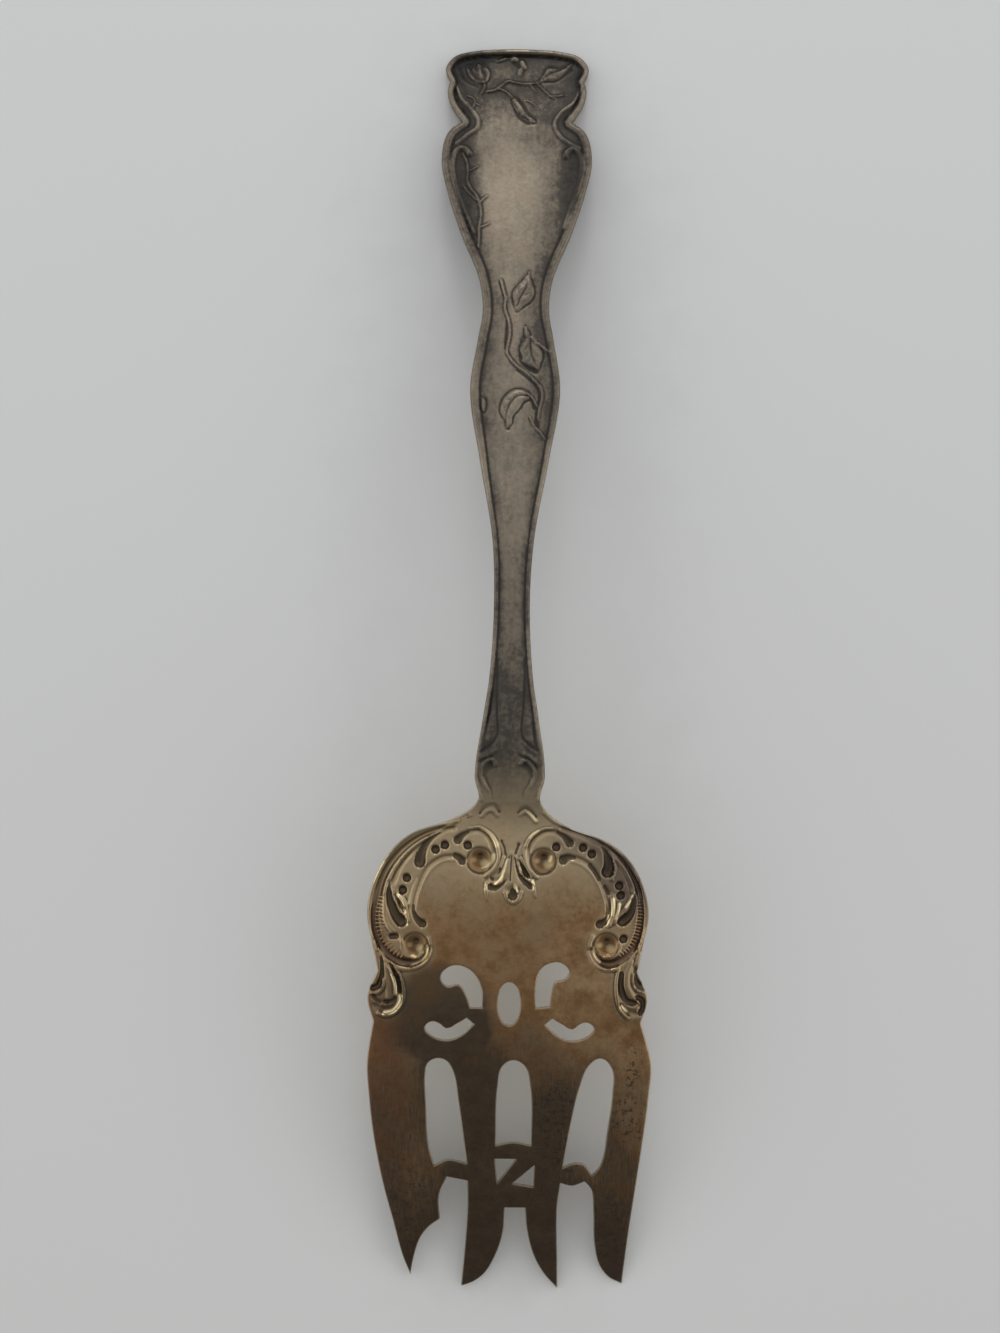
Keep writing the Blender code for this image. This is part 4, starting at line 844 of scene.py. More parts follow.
# %% Stems of the sprigs
STEMS = {
    "tulip_stem": ([(-5.9, 106.1), (-5.8, 105.3), (-6.1, 104.6), (-6.5, 103.8)], 0.6),
    "main_stem": ([(-5.3, 104.4), (-4.1, 104.6), (-3.2, 105.2), (-2.5, 105.8), (-1.6, 106.4),
        (-0.5, 106.2), (1.0, 105.9), (2.4, 105.9), (3.7, 106.1), (4.4, 106.6)], 0.55),
    "tendril": ([(3.7, 106.0), (4.8, 104.9), (5.5, 104.2), (6.0, 103.7), (7.3, 103.6),
        (8.9, 103.9)], 0.45),
    "tendril_spur": ([(5.9, 103.6), (7.1, 103.1)], 0.4),
    "stem_spur": ([(-3.5, 104.8), (-2.5, 105.7)], 0.55),
    "lower_branch": ([(-3.4, 105.0), (-2.3, 104.6), (-1.4, 104.0), (-0.6, 103.1)], 0.5),
    "bud_petal": ([(1.7, 102.7), (2.6, 102.4), (3.3, 101.8), (3.9, 100.8)], 0.4),
    "branch_twig": ([(2.4, 105.8), (3.1, 105.0), (3.6, 104.3)], 0.35),
    "left_twiglet": ([(-8.9, 103.6), (-8.0, 103.2), (-7.5, 102.6), (-7.7, 101.7), (-8.2, 100.7)], 0.4),
    "left_twiglet_spur": ([(-7.4, 102.1), (-6.2, 101.5)], 0.35),
    "left_twiglet_low": ([(-9.0, 102.4), (-8.2, 101.4)], 0.35),
    "twig": ([(-9.5, 92.4), (-8.8, 90.7), (-8.6, 89.0), (-8.7, 87.3), (-8.0, 85.8), (-6.9, 84.3),
        (-6.4, 82.8), (-6.2, 80.9), (-6.5, 78.5), (-6.5, 76.6), (-6.6, 74.9)], 0.6),
    "twig_spur_a": ([(-8.6, 89.0), (-7.5, 89.6), (-6.8, 90.1)], 0.45),
    "twig_spur_b": ([(-6.6, 83.0), (-5.8, 83.9), (-5.0, 84.5)], 0.45),
    "twig_spur_c": ([(-6.5, 78.5), (-5.4, 78.9), (-4.6, 79.4)], 0.45),
    "twig_arc": ([(-9.4, 86.3), (-8.2, 84.8), (-6.7, 83.5)], 0.5),
    "long_stem_top": ([(-2.5, 68.7), (-2.0, 66.6), (-1.6, 65.2)], 0.6),
    "long_stem": ([(-1.6, 65.5), (-1.8, 63.7), (-1.1, 61.1), (-0.9, 59.1), (-1.2, 57.0), (-1.4, 55.7),
        (-0.7, 54.2), (0.6, 52.8), (2.1, 51.7), (3.7, 50.1), (4.6, 48.9), (4.8, 47.4), (4.3, 45.3),
        (4.1, 43.5)], 0.58),
    "long_stem_foot": ([(2.7, 43.9), (3.4, 42.3), (4.6, 41.0), (5.3, 40.0)], 0.5),
    "low_leaf_stem": ([(2.0, 48.0), (3.0, 47.4), (3.9, 45.8)], 0.5),
}
for knots, width in STEMS.values():
    handle_sheet.stroke(handle_sheet.laid, knots, width, width, 0.9 * width)
print("stems:", len(STEMS))

# %% [markdown]
# ## Rows of ribs
# Each row has short ribs across it, longest in the middle. They could be struck into the sheet like the
# crests, but are finer than its grid shows well. Here they are only noted, so that what lies between them
# can darken.

# %% Rows of ribs
RIB_COUNT = 19
RIB_WIDTH, RIB_HEIGHT, SHORTEST_RIB = 0.34, 0.3, 0.5
RIB_ROWS = [
    [(-22.2, -39.2), (-22.5, -41.1), (-22.6, -43.2), (-22.4, -45.0), (-21.7, -46.5), (-20.8, -47.8)]
    + [(-19.6, -49.0), (-18.7, -49.5)],
    [(21.8, -39.6), (22.0, -41.4), (21.9, -43.4), (21.5, -45.1), (21.0, -46.6), (20.1, -47.9)]
    + [(18.9, -49.0)],
]


def rib_lengths(count):
    """Lengths of the ribs in a row, shorter toward both ends."""
    return SHORTEST_RIB + np.sin(np.pi * np.linspace(0.06, 0.94, count)) ** 0.7


for knots in RIB_ROWS:
    path = trace(knots, 0.1)
    reach = np.concatenate([[0.0], np.cumsum(np.hypot(*np.diff(path, axis=0).T))])
    spots = np.linspace(0.0, reach[-1], RIB_COUNT)
    spots = np.stack([np.interp(spots, reach, path[:, axis]) for axis in (0, 1)], axis=1)
    run = unit(np.gradient(spots, axis=0))
    across = 0.5 * rib_lengths(RIB_COUNT)[:, None] * np.stack([-run[:, 1], run[:, 0]], axis=1)
    for start, end in zip(spots - across, spots + across):
        head_sheet.stroke(head_sheet.laid, [start, end], RIB_WIDTH, RIB_WIDTH, 0.5 * RIB_HEIGHT)
print("ribs:", RIB_COUNT * len(RIB_ROWS))

# %% [markdown]
# ## Where tarnish stays, and where light is painted
# Wiping polishes what stands proud and leaves dark tarnish in the hollows. A place's height against the
# softened height around it tells both. Such layers could be painted by hand; measured ones fit every line
# at once. The materials read them by name: hollow for narrow lines, shelter for the field beside a rim,
# crest for what stands proud, slope for steep walls, which the materials darken as painted shade, dish for
# wide flutes, worked for all that was struck, and rim for the handle's border. The gilded layer comes from
# the cups, and the polished layer holds the painted highlights of the cups and the highlight strokes.


# %% Softened grids
def softened(layer, radius, step):
    """Layer averaged over a round bell of one radius."""
    reach = int(np.ceil(2.5 * radius / step))
    bell = np.exp(-0.5 * (np.arange(-reach, reach + 1) * step / radius) ** 2)
    bell /= bell.sum()
    for axis in (0, 1):
        padded = np.pad(layer, [(reach, reach) if k == axis else (0, 0) for k in (0, 1)], mode="edge")
        count = layer.shape[axis]
        parts = (np.take(padded, range(k, k + count), axis) * weight for k, weight in enumerate(bell))
        layer = sum(parts)
    return layer


soft_head = softened(head_sheet.height(), 0.3, head_sheet.step)
print("highest place of the head:", round(float(head_sheet.height().max()), 2), "mm,", end=" ")
print("softened:", round(float(soft_head.max()), 2), "mm")

# %% Hollows and crests
NARROW, BROAD, WIDE = 0.3, 0.9, 2.0


def wear_and_painted_light_layers(sheet):
    """Struck, wiped and painted-light layers of each cell, each over the value that counts as full."""
    height = sheet.height() + sheet.laid
    dish = np.maximum(sheet.dished - sheet.sunk, 0.0)
    wiped = height + dish
    solid = sheet.ground + sheet.raised + sheet.laid
    fine = softened(wiped, NARROW, sheet.step) - wiped
    broad = softened(wiped, BROAD, sheet.step) - wiped
    shelter = softened(height, WIDE, sheet.step) - height
    proud = solid - softened(solid, NARROW, sheet.step)
    slope = np.hypot(*np.gradient(softened(height, 0.1, sheet.step), sheet.step))
    layers = {
        "hollow": np.maximum(fine / 0.13, broad / 0.42),
        "shelter": shelter / 0.3,
        "crest": proud / 0.1,
        "slope": slope / 0.9,
        "dish": dish / 0.75,
        "gilded": sheet.gilded,
        "polished": sheet.polished,
        "worked": softened((np.abs(height) > 0.06).astype(float), 1.0, sheet.step),
    }
    return {name: np.clip(layer, 0.0, 1.0) for name, layer in layers.items()}


handle_wear_and_painted_light = wear_and_painted_light_layers(handle_sheet)
head_wear_and_painted_light = wear_and_painted_light_layers(head_sheet)
for layer in ("hollow", "shelter", "slope"):
    handle_wear_and_painted_light[layer] *= ease(edge_away / rim_scale / 0.6 - 0.6)
handle_wear_and_painted_light["rim"] = 1.0 - ease((edge_away / rim_scale - 1.1) / 0.5)
head_wear_and_painted_light["rim"] = np.zeros(head_sheet.ground.shape)
handle_height = softened(handle_sheet.height(), 0.08, handle_sheet.step)
head_height = softened(head_sheet.height(), 0.1, head_sheet.step)
print("hollow share of the head's grid", round(float(head_wear_and_painted_light["hollow"].mean()), 3))

# %% [markdown]
# ## Surfaces over the plan
# Each piece is a sheet between two surfaces, the back and the front, over the same plan. Both are the
# arch of the fork with the struck heights on it, so two functions give them for any point of the plan.


# %% Back and front of the fork
def back(points):
    """Height of the upper side."""
    relief = handle_sheet.read(handle_height, points) + head_sheet.read(head_height, points)
    return spine(points[:, 1]) - droop(points) + relief


def front(points):
    """Height of the lower side: the handle's pattern again, and the raised side of the head's."""
    relief = head_sheet.read(head_height, points) - handle_sheet.read(handle_height, points)
    surface = spine(points[:, 1]) - droop(points) - thickness(points[:, 1]) + relief
    return np.maximum(surface, 0.0)


at_seam = np.array([[0.0, SEAM_Y]])
print("metal at the seam:", round(float((back(at_seam) - front(at_seam))[0]), 2), "mm")

# %% [markdown]
# ## Points and triangles of a plan
# The plan is filled with staggered points, which a Delaunay triangulation joins to even triangles. Two
# rows of points follow every edge, so that its rounding has places to bend at. Subdividing the packed
# solids would be quicker to write, but it would blur the thin lines and spend triangles on the plain
# tines.

# %% Points of a plan
ROW_SHARE = 0.866


def honeycomb(low, high, spacing):
    """Staggered points over a box."""
    rows = np.arange(low[1], high[1], spacing * ROW_SHARE)
    columns = np.arange(low[0], high[0] + spacing, spacing)
    shift = np.where(np.arange(len(rows)) % 2, spacing / 2, 0.0)
    return np.stack([(columns[None, :] + shift[:, None]).ravel(), np.repeat(rows, len(columns))], axis=1)


def edge_rows(loops, offset):
    """Points beside each loop, at an offset to its inner side."""
    rows = []
    for loop in loops:
        run = unit(np.roll(loop, -1, axis=0) - np.roll(loop, 1, axis=0))
        rows.append(loop + offset * np.stack([-run[:, 1], run[:, 0]], axis=1))
    return np.concatenate(rows)


print("honeycomb points at 0.3 mm on the handle:", len(honeycomb((-14, -24), (14, 113), 0.3)))


# %% Distance from the edges
def clearance(points, loops, most=3.0):
    """Distance of each point from the nearest loop, up to a limit."""
    away = np.full(len(points), most)
    order = np.argsort(points[:, 1])
    heights = points[order, 1]
    for loop in loops:
        for start, end in zip(loop, np.roll(loop, -1, axis=0)):
            low, high = sorted((start[1], end[1]))
            near = order[slice(*np.searchsorted(heights, (low - most, high + most)))]
            near = near[np.abs(points[near, 0] - start[0]) < most + 0.5]
            run = end - start
            gap = points[near] - start
            share = np.clip(gap @ run / max(run @ run, 1e-12), 0.0, 1.0)
            gap = gap - share[:, None] * run
            away[near] = np.minimum(away[near], np.hypot(gap[:, 0], gap[:, 1]))
    return away


middle = np.array([[0.0, 0.0]])
print("half width of the stem:", round(float(clearance(middle, [outline], 9.0)[0]), 2), "mm")

# %% Triangles over a plan
ROUNDING = 0.22
EDGE_ROWS = (0.07, ROUNDING)


def plan_mesh(loops, fills):
    """Points and triangles of a plan; the loops' own points come first."""
    points = [np.concatenate(loops)]
    for offset in EDGE_ROWS:
        row = edge_rows(loops, offset)
        points.append(row[clearance(row, loops, 0.5) > 0.93 * offset])
    for fill, spacing in fills:
        fill = fill[inside(fill, loops)]
        points.append(fill[clearance(fill, loops, 1.5) > ROUNDING + 0.5 * spacing])
    points = np.concatenate(points)
    edges, first = [], 0
    for loop in loops:
        edges += [(first + k, first + (k + 1) % len(loop)) for k in range(len(loop))]
        first += len(loop)
    flat = delaunay_2d_cdt([Vector(point) for point in points.tolist()], edges, [], 0, 1e-7)
    places = np.array([vertex[:] for vertex in flat[0]])
    faces = np.array(flat[2])
    faces = faces[inside(places[faces].mean(1), loops)]
    a, b, c = (places[faces[:, k]] for k in range(3))
    turned = (b[:, 0] - a[:, 0]) * (c[:, 1] - a[:, 1]) - (b[:, 1] - a[:, 1]) * (c[:, 0] - a[:, 0]) < 0.0
    faces[turned] = faces[turned][:, ::-1]
    own = np.empty(len(points), int)
    for index, sources in enumerate(flat[3]):
        own[list(sources)] = index
    return places, faces, [(own[a], own[b]) for a, b in edges]


def rounded(points, loops):
    """How far the worn edge lies below the surface beside it."""
    return ROUNDING * quarter_round(np.clip(clearance(points, loops, 0.5), 0.0, ROUNDING) / ROUNDING)


print("edges rounded over", ROUNDING, "mm; at the very edge:", rounded(outline[:1], [outline]))

# %% [markdown]
# ## Bodies between the surfaces
# A body is the back over one triangulation and the front over another, coarser one, with upright walls
# between. Both triangulations keep the same loops, so the walls close without gaps. Points lie close
# together over the ornament and wider apart on the plain plate and the tines.

# %% Loops of handle and head
LOOP_BELOW, LOOP_ABOVE, FAR = 1.6, 6.6, 200.0


def part_of_outline(low, high):
    """Closed loop of the outline between two places along the fork."""
    kept = (outline[:, 1] > low) & (outline[:, 1] < high)
    first = int(np.nonzero(kept & ~np.roll(kept, 1))[0][0]) if not kept.all() else 0
    order = np.roll(np.arange(len(outline)), -first)
    return outline[order][kept[order]]


handle_loop = part_of_outline(SEAM_Y - LOOP_BELOW, FAR)
head_loop = part_of_outline(-FAR, SEAM_Y + LOOP_ABOVE)
head_loops = [head_loop] + piercings
print("loop points:", len(handle_loop), len(head_loop))


# %% Handle body
def struck_piece(loops, back_fills, front_fills):
    """Closed body between the back and the front."""
    upper, upper_faces, upper_edges = plan_mesh(loops, back_fills)
    lower, lower_faces, lower_edges = plan_mesh(loops, front_fills)
    top = np.column_stack([upper, back(upper) - rounded(upper, loops)])
    bottom = np.column_stack([lower, np.maximum(front(lower) + rounded(lower, loops), 0.0)])
    shift = len(top)
    faces = upper_faces.tolist() + (lower_faces[:, ::-1] + shift).tolist()
    for (a, b), (c, d) in zip(upper_edges, lower_edges):
        faces.append((b, a, c + shift))
        faces.append((b, c + shift, d + shift))
    mesh = bpy.data.meshes.new("body")
    mesh.from_pydata((np.concatenate([top, bottom]) * MM).tolist(), [], faces)
    body = bmesh.new()
    body.from_mesh(mesh)
    bpy.data.meshes.remove(mesh)
    bmesh.ops.delete(body, geom=[v for v in body.verts if not v.link_faces], context="VERTS")
    return body


def even_fill(loop, spacing):
    """Points at one spacing over the box of a loop."""
    return [(honeycomb(loop.min(0), loop.max(0), spacing), spacing)]


handle_body = struck_piece([handle_loop], even_fill(handle_loop, 0.26), even_fill(handle_loop, 0.28))
print("handle triangles:", len(handle_body.faces))

# %% Head body
ORNAMENT_END = -65.0
PLAIN_SPACING = 0.75


def split_fill(loop, spacing):
    """Close points over the ornament and wider ones over the plain plate and the tines."""
    low, high = loop.min(0), loop.max(0)
    near = honeycomb(low, high, spacing)
    far = honeycomb(low, high, PLAIN_SPACING)
    near = near[near[:, 1] > ORNAMENT_END]
    far = far[far[:, 1] < ORNAMENT_END - 0.6 * PLAIN_SPACING]
    return [(near, spacing), (far, PLAIN_SPACING)]


head_body = struck_piece(head_loops, split_fill(head_loop, 0.2), split_fill(head_loop, 0.4))
print("head triangles:", len(head_body.faces))

# %% [markdown]
# ## The scarf at the neck
# Head and handle were made apart and soldered: the head's tongue runs under the handle along a slope.
# Both bodies are cut by planes parallel to that slope, and a film of solder fills what is between, so the
# seam shows only as a hair line across the neck.

# %% Cutting at the scarf
SCARF_LENGTH, SCARF_DEPTH, FILM = 5.0, 2.6, 0.03
scarf_heights = spine(np.array([SEAM_Y, SEAM_Y + SCARF_LENGTH]))
scarf_start = Vector((0.0, SEAM_Y, scarf_heights[0]))
scarf_fall = scarf_heights[0] - (scarf_heights[1] - SCARF_DEPTH)
scarf_normal = Vector((0.0, scarf_fall, SCARF_LENGTH)).normalized()


def cut(body, offset, keep_above):
    """Trim a body at a plane parallel to the scarf and close the cut."""
    place = scarf_start * MM + scarf_normal * offset * MM
    bmesh.ops.bisect_plane(
        body,
        geom=body.verts[:] + body.edges[:] + body.faces[:],
        plane_co=place,
        plane_no=scarf_normal,
        clear_inner=keep_above,
        clear_outer=not keep_above,
    )
    rim = [edge for edge in body.edges if edge.is_boundary]
    bmesh.ops.triangle_fill(body, edges=rim, use_beauty=True)
    bmesh.ops.recalc_face_normals(body, faces=body.faces)
    return body


handle_body = cut(handle_body, FILM, True)
head_body = cut(head_body, -FILM, False)
print("triangles after the cut:", len(handle_body.faces), len(head_body.faces))

# %% Solder film
FILM_SHARE = 0.8
neck_sides = outline[(outline[:, 1] > SEAM_Y - LOOP_BELOW) & (outline[:, 1] < SEAM_Y + LOOP_ABOVE)]
round_the_film = np.arctan2(neck_sides[:, 1] - SEAM_Y - SCARF_LENGTH / 2, neck_sides[:, 0])
neck_loop = neck_sides[np.argsort(round_the_film)]
film_body = struck_piece([neck_loop], even_fill(neck_loop, 0.4), [])
film_body = cut(film_body, -FILM_SHARE * FILM, True)
film_body = cut(film_body, FILM_SHARE * FILM, False)
print("film triangles:", len(film_body.faces))

# %% [markdown]
# ## Pieces of the fork
# Each body becomes a named piece that stands for its node of the frame. Every vertex keeps its wear layers
# and painted light layers, whether it is on the front, and how near an edge it is, so that the materials
# can read them.

# %% Finished pieces
SHARP_ANGLE = 0.75
HANDLE_EDGE, THIN_EDGE = 0.45, 0.16


def note(mesh, name, values):
    """One number for every vertex, under a name that materials and node trees can read."""
    mesh.attributes.new(name, "FLOAT", "POINT").data.foreach_set("value", values.astype(np.float32))


def finished(name, body, node, loops, rim):
    """Named piece that stands for a node, with its wear and painted light layers."""
    mesh = bpy.data.meshes.new(name)
    body.to_mesh(mesh)
    body.free()
    mesh.shade_smooth()
    mesh.set_sharp_from_angle(angle=SHARP_ANGLE)
    places = np.empty(3 * len(mesh.vertices))
    mesh.vertices.foreach_get("co", places)
    plan, high = places.reshape(-1, 3)[:, :2] / MM, places[2::3] / MM
    for layer in handle_wear_and_painted_light:
        own, other = handle_sheet.read(handle_wear_and_painted_light[layer], plan), head_sheet.read(head_wear_and_painted_light[layer], plan)
        note(mesh, layer, np.maximum(own, other))
    note(mesh, "front", high < 0.5 * (back(plan) + front(plan)))
    note(mesh, "edge", np.clip(1.0 - clearance(plan, loops, 0.5) / rim, 0.0, 1.0))
    piece = bpy.data.objects.new(name, mesh)
    bpy.context.scene.collection.objects.link(piece)
    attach(piece, "root")
    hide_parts(node)
    return piece


handle = finished("struck_handle", handle_body, "handle", [handle_loop], HANDLE_EDGE)
head = finished("struck_head", head_body, "fork_head", head_loops, THIN_EDGE)
film = finished("solder_seam", film_body, "solder_film", [neck_loop], THIN_EDGE)
print("pieces:", [piece.name for piece in (handle, head, film)])

# %% [markdown]
# ## A small language for materials
# Node trees are easier to read as sums. One class wraps a socket: adding, multiplying or subtracting
# wires adds Math nodes, and one method makes any other node from its type, settings and sockets.


# %% Wires
class Wire:
    """A socket of a node tree, or the tree alone."""

    def __init__(self, tree, socket=None):
        self.tree = tree
        self.socket = socket

    def node(self, kind, settings, sockets, output=0):
        """New node: its settings come first, then the values or wires of its sockets."""
        made = self.tree.nodes.new(kind)
        for name, value in settings.items():
            setattr(made, name, value)
        for name, value in sockets.items():
            if isinstance(value, Wire):
                self.tree.links.new(value.socket, made.inputs[name])
            else:
                made.inputs[name].default_value = value
        return Wire(self.tree, made.outputs[output])

    def maths(self, operation, first, second=0.0):
        return self.node("ShaderNodeMath", {"operation": operation}, {0: first, 1: second})

    def __add__(self, other):
        return self.maths("ADD", self, other)

    def __radd__(self, other):
        return self.maths("ADD", other, self)

    def __sub__(self, other):
        return self.maths("SUBTRACT", self, other)

    def __rsub__(self, other):
        return self.maths("SUBTRACT", other, self)

    def __mul__(self, other):
        return self.maths("MULTIPLY", self, other)

    def __rmul__(self, other):
        return self.maths("MULTIPLY", other, self)

    def clamped(self):
        return self.node("ShaderNodeClamp", {}, {"Value": self})

    def step(self, low, high):
        """Smooth step of this value from 0 at low to 1 at high."""
        ends = {"Value": self, "From Min": low, "From Max": high}
        return self.node("ShaderNodeMapRange", {"interpolation_type": "SMOOTHSTEP"}, ends)

    def blend(self, first, second):
        """Colour between two, by this value."""
        settings = {"data_type": "RGBA"}
        return self.node("ShaderNodeMix", settings, {0: self, 6: first, 7: second}, 2)


def colour(red, green, blue):
    return (red, green, blue, 1.0)


def coated(base, coats):
    """Colour under thin coats, laid one after the other: how much of each, and its colour."""
    for amount, tone in coats.values():
        base = amount.blend(base, colour(*tone))
    return base


print("wires can be added, subtracted, multiplied, clamped, stepped and blended")


# %% Finishes
class Finish:
    """A material whose shader is fed by wires."""

    def __init__(self, name):
        self.material = bpy.data.materials.new(name)
        self.material.use_nodes = True
        self.tree = self.material.node_tree
        self.shader = self.tree.nodes["Principled BSDF"]
        self.start = Wire(self.tree)
        self.place = self.start.node("ShaderNodeTexCoord", {}, {}, "Object")
        apart = self.start.node("ShaderNodeSeparateXYZ", {}, {"Vector": self.place})
        self.x, self.y = (Wire(self.tree, out) for out in apart.socket.node.outputs[:2])

    def noise(self, scale, detail=3.0, roughness=0.55, stretch=None):
        """Noise from 0 to 1, its scale in cells per metre, drawn out along an axis if asked."""
        place = self.place
        if stretch:
            place = self.start.node("ShaderNodeMapping", {}, {"Vector": place, "Scale": stretch})
        sockets = {"Vector": place, "Scale": scale, "Detail": detail, "Roughness": roughness}
        return self.start.node("ShaderNodeTexNoise", {}, sockets)

    def layer(self, name):
        return self.start.node("ShaderNodeAttribute", {"attribute_name": name}, {}, "Fac")

    def stain(self, centre, radii, soft=1.5, uneven=1.6):
        """Uneven patch round a place in plan, from 0 to 1, with a soft or a sharp edge."""
        across = (self.x - centre[0]) * (1.0 / radii[0])
        along = (self.y - centre[1]) * (1.0 / radii[1])
        wobble = uneven * (self.noise(110.0, 4.0) - 0.5)
        return 1.0 - (across * across + along * along + wobble).step(0.95 - 0.5 * soft, 0.95 + 0.5 * soft)

    def feed(self, **sockets):
        for name, value in sockets.items():
            target = self.shader.inputs[name.replace("_", " ")]
            if isinstance(value, Wire):
                self.tree.links.new(value.socket, target)
            else:
                target.default_value = value

    def bumped(self, height, strength=0.3, distance=0.00006):
        """Normal of a finely uneven surface."""
        sockets = {"Height": height, "Strength": strength, "Distance": distance}
        return self.start.node("ShaderNodeBump", {}, sockets, "Normal")


print("a finish can take noise, layers, stains and bumps")

# %% [markdown]
# ## Tarnished silver
# The handle's silver is wiped clean on the broad panel and the rim, brown-grey in between and nearly
# black in the hollows. Blotches, streaks and fine wiping scratches along the handle break the sheen. An
# image could carry all this, but noise and measured layers stay sharp at any distance and need no file.

# %% Layers and grain of the silver
silver = Finish("tarnished_silver_finish")
hollow, shelter, crest, under = (silver.layer(name) for name in ("hollow", "shelter", "crest", "front"))
rim, slope = silver.layer("rim"), silver.layer("slope")
# edge lightens the handle's outer edges: wear there together with a painted highlight on the rim
edge = silver.layer("edge") * silver.y.step(-0.020, -0.017)
blotch = silver.noise(330.0, 6.0, 0.66)
cloud = silver.noise(85.0, 3.0)
speckle = silver.noise(1300.0, 4.0, 0.7)
grain = silver.noise(2600.0, 3.0)
scratch = silver.noise(900.0, 2.0, 0.5, (6.0, 0.5, 1.0))
streak = silver.noise(260.0, 4.0, 0.6, (3.0, 0.6, 1.0))
print("silver nodes for layers and grain:", len(silver.tree.nodes))

# %% Stains of the silver
SOFT = 1.9
panel = silver.stain((-0.0015, 0.0845), (0.0058, 0.0150), SOFT)
swell = silver.stain((-0.0005, 0.0360), (0.0042, 0.0180), SOFT)
swell = swell + 0.5 * silver.stain((-0.0018, 0.0625), (0.003, 0.007), SOFT)
right_band = silver.stain((0.0104, 0.0880), (0.0026, 0.0095), SOFT)
left_band = silver.stain((-0.0090, 0.0845), (0.0032, 0.0115), SOFT)
lobe_middle = silver.stain((0.0015, 0.1070), (0.0065, 0.0060), SOFT)
# painted shade together with tarnish: the top corner of the end lobe's recess is darkened
corner = silver.stain((-0.0090, 0.1110), (0.0045, 0.0020), SOFT)
stem_rim = rim * silver.y.step(0.002, 0.012) * (1.0 - silver.y.step(0.024, 0.030))
pale_rim = silver.stain((0.0, 0.0335), (0.020, 0.0060), SOFT)
pale_rim = rim * (pale_rim + silver.stain((-0.0090, 0.0480), (0.0050, 0.0090), SOFT))
neck_dark = (1.0 - silver.y.step(-0.012, 0.012)) * silver.y.step(-0.028, -0.016)
# painted shade together with tarnish: the end lobe's recess darkens toward the top rim
lobe_dark = silver.y.step(0.090, 0.106)
gilt = 1.0 - silver.y.step(-0.0225, -0.0135)
print("silver nodes with stains:", len(silver.tree.nodes))

# %% Film of tarnish on the silver
film_amount = 0.70 + 0.5 * (cloud - 0.5) + 0.36 * (blotch.step(0.3, 0.7) - 0.5) + 0.9 * (speckle - 0.5)
film_amount = film_amount + 0.5 * (streak - 0.5) - 0.53 * panel - 0.37 * swell - 0.4 * under
film_amount = film_amount + (0.28 * neck_dark + 0.29 * lobe_dark) * (1.0 - rim)
film_amount = film_amount - 0.12 * lobe_middle + 0.62 * shelter
film_amount = film_amount + (0.55 * right_band + 0.45 * left_band) * (1.0 - rim)
# painted shade: slope darkens the steep walls of the pattern
film_amount = film_amount + 0.12 * slope - (0.18 + 0.3 * lobe_dark) * crest - 0.5 * edge
film_amount = film_amount + 0.14 * rim * silver.y.step(0.03, 0.05) + 0.5 * corner
film_amount = film_amount + 0.40 * stem_rim - 0.22 * pale_rim
black = (hollow.step(0.10, 0.75) + 0.4 * speckle.step(0.55, 0.75) * hollow.step(0.02, 0.3)).clamped()
clean = blotch.step(0.3, 0.7).blend(colour(0.235, 0.190, 0.142), colour(0.305, 0.262, 0.200))
silver_coats = {
    "brown film": (film_amount.clamped(), (0.072, 0.062, 0.052)),
    "thick film": ((film_amount - 0.9).clamped(), (0.020, 0.020, 0.021)),
    "gold at the neck": (0.6 * gilt, (0.235, 0.187, 0.117)),
    "black hollows": (0.82 * black, (0.022, 0.019, 0.016)),
}
silver.feed(
    Base_Color=coated(clean, silver_coats),
    Metallic=1.0 - 0.3 * black,
    Roughness=0.35 + 0.12 * film_amount.clamped() + 0.10 * black + 0.10 * (scratch - 0.5),
    Normal=silver.bumped(0.5 * grain + 0.4 * scratch + 0.4 * speckle),
)
handle.data.materials.append(silver.material)
print("silver nodes:", len(silver.tree.nodes))

# %% [markdown]
# ## Worn gold wash
# The head was washed with thin gold. It is still bright on the crests; on the flat plate it has gone brown,
# in the hollows black, and toward the tips dark and pitted. Painted highlights lighten some strokes and
# spots, steep walls are darkened as painted shade, and the edges are lightened as bare metal with a
# painted highlight. As on the silver, coats are laid one after the other, each where a layer or a stain
# says.

# %% Layers and grain of the gold
gold = Finish("worn_gold_wash_finish")
hollow, crest, dish, under = (gold.layer(name) for name in ("hollow", "crest", "dish", "front"))
gilded, polished, worked, edge = (gold.layer(name) for name in ("gilded", "polished", "worked", "edge"))
# painted shade: the steep walls darken with slope, except in the cups
slope = gold.layer("slope") * (1.0 - gilded)
flute = dish.step(0.05, 0.5) * (1.0 - gilded)
blotch = gold.noise(300.0, 6.0, 0.66)
cloud = gold.noise(75.0, 4.0)
speckle = gold.noise(1300.0, 4.0, 0.7)
grain = gold.noise(2400.0, 3.0)
scratch = gold.noise(700.0, 2.0, 0.5, (5.0, 0.6, 1.0))
print("gold nodes for layers and grain:", len(gold.tree.nodes))

# %% Stains of the gold
tine_dark = 1.0 - gold.y.step(-0.080, -0.052)
tip_dark = 1.0 - gold.y.step(-0.108, -0.088)
pale_top = gold.y.step(-0.046, -0.030)
seam_dark = gold.y.step(-0.029, -0.0215)
